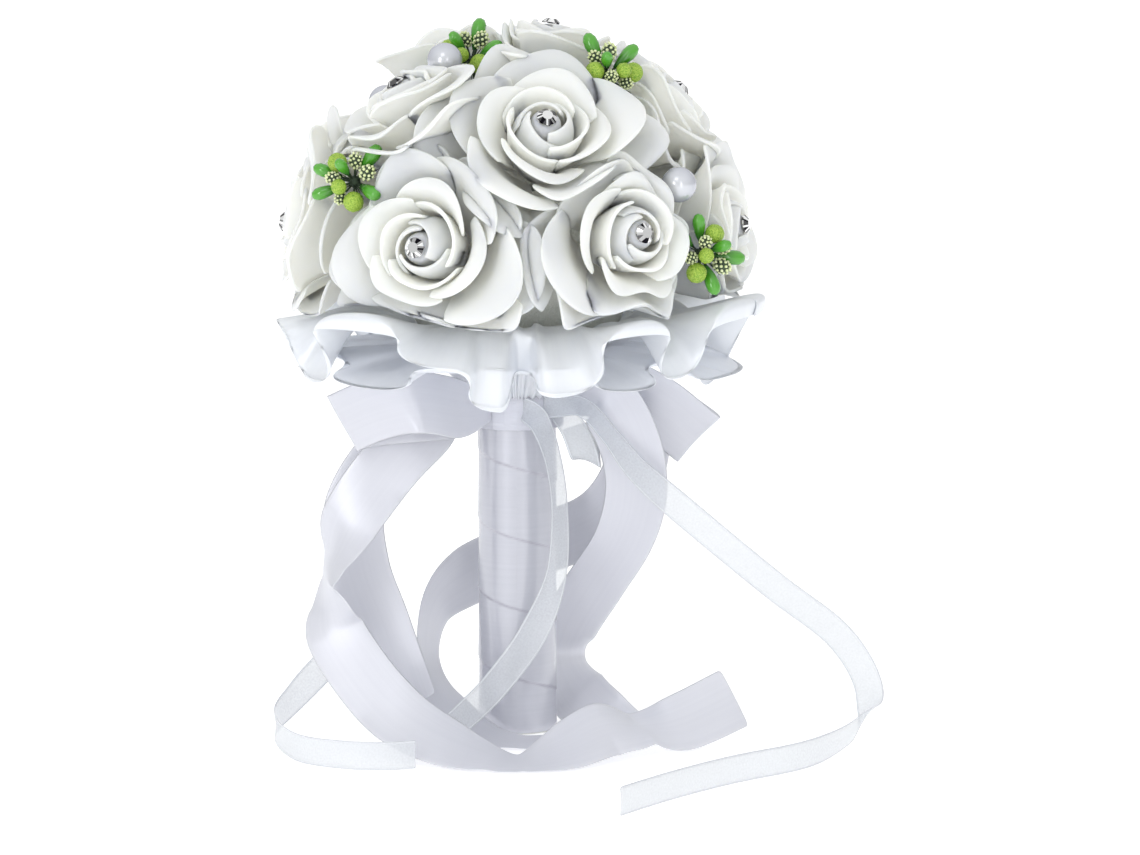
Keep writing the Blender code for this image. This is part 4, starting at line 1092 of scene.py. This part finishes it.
RIBBONS = {
    "satin_tail_left": (
        (*band_point(-55, 131), 0, 0, 1), (-28, -21, 130, -0.3, 0, 1), (-42, -29, 119, -0.7, 0, 0.7),
        (-53, -33, 107, -0.75, 0, 0.65), (-65, -36, 90, -0.75, 0.3, 0.4), (-71, -36, 75, -0.4, 0.9, 0.15),
        (-74, -35, 66, -0.2, 1, 0), (-73, -36, 56, -0.65, 0.75, -0.05), (-71, -38, 46, -0.95, 0.2, -0.2),
        (-63, -44, 34, -0.92, 0, -0.4), (-52, -52, 22, -0.85, -0.1, -0.5), (-41, -59, 14, -0.6, -0.5, -0.6),
        (-25, -68, 7.5, -0.2, -0.8, -0.5), (-10, -72, 3.5, 0, -0.97, -0.2), (2, -73, 1.8, 0, -1, -0.05),
        (20, -70, 7.5, 0.4, -0.75, -0.5), (35, -59, 12, 0.35, -0.6, -0.72), (49, -50, 10, 0.1, -0.97, -0.25),
        (64, -44, 11, 0.25, -0.6, -0.75), (86, -31, 18.5, 0.75, 0, -0.65),
    ),
    "satin_tail_left_back": (
        (*band_point(-100, 131), 0, 0, 1), (-32, 2, 128, -0.3, 0, 1), (-48, -3, 116, -0.7, 0, 0.8),
        (-64, -9, 92, -1, 0, 0.3), (-63, -12, 68, -1, 0, -0.1), (-55, -16, 46, -0.9, 0, -0.4),
        (-48, -24, 28, -0.9, 0, -0.5), (-42, -34, 15, -0.7, 0, -0.7),
    ),
    "satin_tail_right": (
        (*band_point(70, 132), 0, 0, 1), (32, -14, 137, 0, 0, 1), (40, -17, 128, 0.8, 0, 0.6),
        (46, -15, 112, 1, 0, 0.2), (47, -12, 95, 1, 0, 0), (42, -4, 76, 1, 0.2, -0.3),
        (30, 12, 54, 0.95, 0.2, -0.45), (20, 23, 34, 0.9, 0.3, -0.2), (18, 26, 22, 0.7, 0.7, 0.1),
        (24, 14, 11, 0.4, 0.6, 0.7), (33, -6, 6, 0.2, 0.8, 0.55), (44, -18, 3, 0, 1, 0.15),
    ),
    "satin_tail_back": (
        (*band_point(106, 131), 0, 0, 1), (34, 9, 136, 0.2, 0, 1), (48, 9, 116, 1, 0, 0.3),
        (45, 11, 99, 1, 0, -0.2), (35, 15, 84, 0.7, 0, -0.7), (20, 24, 74, 0.4, 0, -0.9),
        (0, 29, 66, 0.2, 0, -1), (-19, 24, 58, 0.3, 0, -1), (-32, 13, 49, 0.4, 0.7, -0.6),
        (-36, 2, 33, 0.3, 0.9, -0.2), (-31, -8, 17, 0.2, 1, 0.2), (-17, -26, 4, 0.5, 0.8, 0.1),
        (0, -34, 1.5, 0, 1, 0), (16, -33, 1.5, 0, 1, 0),
    ),
    "organza_tail_front": (
        (*band_point(8, 132), 0, 0, 1), (9, -24, 127, 0.5, 0.6, 0.6), (14.5, -25, 112, 0.5, 0.8, 0.2),
        (17, -24.5, 92, 0.55, 0.8, 0), (15.5, -24, 66, 0.7, 0.65, -0.2), (6, -23, 42, 0.8, 0, -0.6),
        (-9, -27, 22, 0.6, 0, -0.8), (-21, -43, 13, 0.4, 0, -0.9), (-29, -54, 8, 0.3, 0, -0.9),
    ),
    "organza_tail_left": (
        (*band_point(-108, 132), 0, 0, 1), (-31, 9, 129, -0.3, 0, 1), (-47, 5, 117, -0.7, 0, 0.7),
        (-62, -1, 92, -1, 0, 0.3), (-61, -5, 68, -1, 0, 0.1), (-60, -6, 48, -1, 0, 0.3),
        (-72, -4, 32, -0.6, 0, 0.8), (-88, -9, 15, -0.2, 0, 1), (-96, -28, 6.9, 0, 0, 1),
        (-85, -66, 6.4, 0, 0, 1), (-65, -80, 6.4, 0, 0, 1), (-49, -82, 6.4, 0, 0, 1),
        (-38, -79, 6.4, 0, 0, 1),
    ),
    "organza_tail_right": (
        (*band_point(34, 132), 0, 0, 1), (26, -24, 133, 0.3, 0.8, 0.5), (37, -27, 122, 0.4, 0.8, 0.4),
        (48, -27, 108, 0.5, 0.6, 0.6), (70, -23, 88, 0.5, 0, 0.8), (102, -20, 61, 0.6, 0, 0.7),
        (128, -16, 40, 0.7, 0, 0.7), (140, -18, 19, 0.9, 0, 0.3), (134, -34, 7, 0.3, 0, 1),
        (114, -76, 6.4, 0, 0, 1), (82, -105, 6.4, 0, 0, 1), (59, -130, 6.4, 0, 0, 1),
        (39, -156, 6.4, 0, 0, 1),
    ),
    "organza_loop": (
        (*band_point(52, 132), 0, 0, 1), (22, -16, 124, 0.9, 0, 0.4), (26.5, -15.5, 113, 0.9, 0, -0.4),
        (28, -12.5, 109.5, 0.9, 0, -0.4), (27, -9.8, 113, 0.9, 0, -0.4), (23.5, -9.3, 124, 0.9, 0, 0.4),
    ),
    "bow_loop_left": (
        (*band_point(-32, 131), 0, 0, 1), (-22, -34, 134, -0.2, 0, 1), (-38, -51, 139, -0.45, 0, 0.9),
        (-54, -48, 135.5, -0.47, 0, 0.88), (-67, -40, 129, -0.5, 0, 0.87), (-60, -36, 131, -0.5, 0, 0.85),
        (-42, -35, 133, -0.35, 0, 1), (-26, -26.5, 133, -0.1, 0, 1),
    ),
    "bow_loop_right": (
        (*band_point(88, 132), 0, 0, 1), (36, -4, 139, 0.3, 0, 1), (54, -7, 132, 0.6, 0, 0.8),
        (70, -4, 119, 0.7, 0, 0.7), (72, -1.5, 117.5, 0.7, 0, 0.7), (69.5, 1, 119.5, 0.7, 0, 0.7),
        (54, 1, 130, 0.6, 0, 0.8), (38, 1.5, 137, 0.3, 0, 1),
    ),
}


def smooth_route(route, steps):
    """Points and width directions along a smooth curve through the rows of a route."""
    rows = [Vector(row[:3]) * MM for row in route]
    widths = [Vector(row[3:]).normalized() for row in route]
    points, hints = [], []
    for number in range(len(rows) - 1):
        before = rows[max(number - 1, 0)]
        here, there = rows[number], rows[number + 1]
        after = rows[min(number + 2, len(rows) - 1)]
        for step in range(steps):
            t = step / steps
            points.append(curve_through(before, here, there, after, t))
            hints.append(widths[number].lerp(widths[number + 1], t))
    return points + [rows[-1]], hints + [widths[-1]]


# %% Ribbons
ROUTE_STEPS = 8
CELLS_ACROSS = 6
CURL = 0.0005


def add_ribbon(node, route):
    """A strip of satin or organza along its route, pinched where it leaves the knot."""
    sheer = node.startswith("organza")
    width = ORGANZA_WIDTH if sheer else SATIN_WIDTH
    points, hints = smooth_route(route, ROUTE_STEPS)
    count = len(points) - 1
    run = [0.0]
    for here, there in zip(points, points[1:]):
        run.append(run[-1] + (there - here).length)

    def place(column, row):
        number = round(column * count)
        ahead = points[min(number + 1, count)] - points[max(number - 1, 0)]
        along = ahead.normalized()
        side = hints[number]
        if number > 0:
            side = (side - along * side.dot(along)).normalized()
        opened = min(1, run[number] / PINCH_LENGTH)
        half = (PINCHED_WIDTH + (width - PINCHED_WIDTH) * math.sin(opened * math.pi / 2)) / 2
        across = 2 * row - 1
        curl = side.cross(along) * (1 - across**2) * CURL * opened
        point = points[number] + side * half * across + curl
        return Vector((point.x, point.y, max(point.z, FLOOR_CLEARANCE + CLOTH_THICKNESS / 2)))

    bm = bmesh.new()
    cloth_grid(
        bm, count, CELLS_ACROSS, place, lambda column, row: (row * width, run[round(column * count)])
    )
    name = node + "_cloth"
    finish, slot = (organza, "organza_white") if sheer else (satin, "satin_white")
    ribbon = finished(name, bm, [finish], node, slot)
    finish_sheet(ribbon, ORGANZA_THICKNESS if sheer else CLOTH_THICKNESS)
    held = "folded" if "loop" in node else "hung"
    print(name, round(run[-1] / MM), "mm long")


for node, route in RIBBONS.items():
    add_ribbon(node, route)

# %% [markdown]
# ## The parts that stay
# The holder, the foam ball and the tie band keep their own solids and get finishes: the holder's end
# shows from below, and the ball between petals.

# %% Finishes on the kept solids
def dry_floral_foam():
    """Dry floral foam: crisp open cells, pale grey-green."""
    made, tree, shader = new_material("dry_floral_foam", "#f3f4ee", 0.95)
    place = add_node(tree, "TexCoord")
    cells = add_node(tree, "TexVoronoi", {"Vector": place.outputs["Object"], "Scale": 1200})
    # Painted shade: each cell's hollow is painted a little darker than its rim
    tones = {0: cells.outputs["Distance"], 6: linear("#eef0e8"), 7: linear("#f9faf5")}
    add_node(tree, "Mix", tones, {2: shader.inputs["Base Color"]}, data_type="RGBA")
    relief = {"Height": cells.outputs["Distance"], "Strength": 0.5, "Distance": 0.0005}
    add_node(tree, "Bump", relief, {"Normal": shader.inputs["Normal"]})
    return made


def moulded_polypropylene():
    """The holder: injection-moulded polypropylene, faintly mottled."""
    made, tree, shader = new_material("moulded_polypropylene", "#e3e5e0", 0.42)
    place = add_node(tree, "TexCoord")
    flow = add_node(tree, "TexNoise", {"Vector": place.outputs["Object"], "Scale": 60, "Detail": 3})
    reach = {"Value": flow.outputs["Fac"], "To Min": 0.34, "To Max": 0.5}
    add_node(tree, "MapRange", reach, {"Result": shader.inputs["Roughness"]})
    return made


def pleated_satin():
    """Satin of the knot, seen as the solid: the same colour, with pleats pulled round it as bump."""
    made, tree, shader = new_material("pleated_satin", "#cecfd8", 0.4)
    place = add_node(tree, "TexCoord")
    pleats = add_node(tree, "Mapping", {"Vector": place.outputs["Object"], "Scale": (60, 60, 900)})
    fold = add_node(tree, "TexNoise", {"Vector": pleats.outputs["Vector"], "Scale": 1, "Detail": 1})
    relief = {"Height": fold.outputs["Fac"], "Strength": 0.6, "Distance": 0.0008}
    add_node(tree, "Bump", relief, {"Normal": shader.inputs["Normal"]})
    return made


kept = {
    "foam_ball": dry_floral_foam(),
    "handle_core": moulded_polypropylene(),
    "tie_band": pleated_satin(),
}
for node, finish in kept.items():
    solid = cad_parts[node]
    for material_slot in solid.material_slots:
        material_slot.material = finish
print("kept:", sorted(kept))
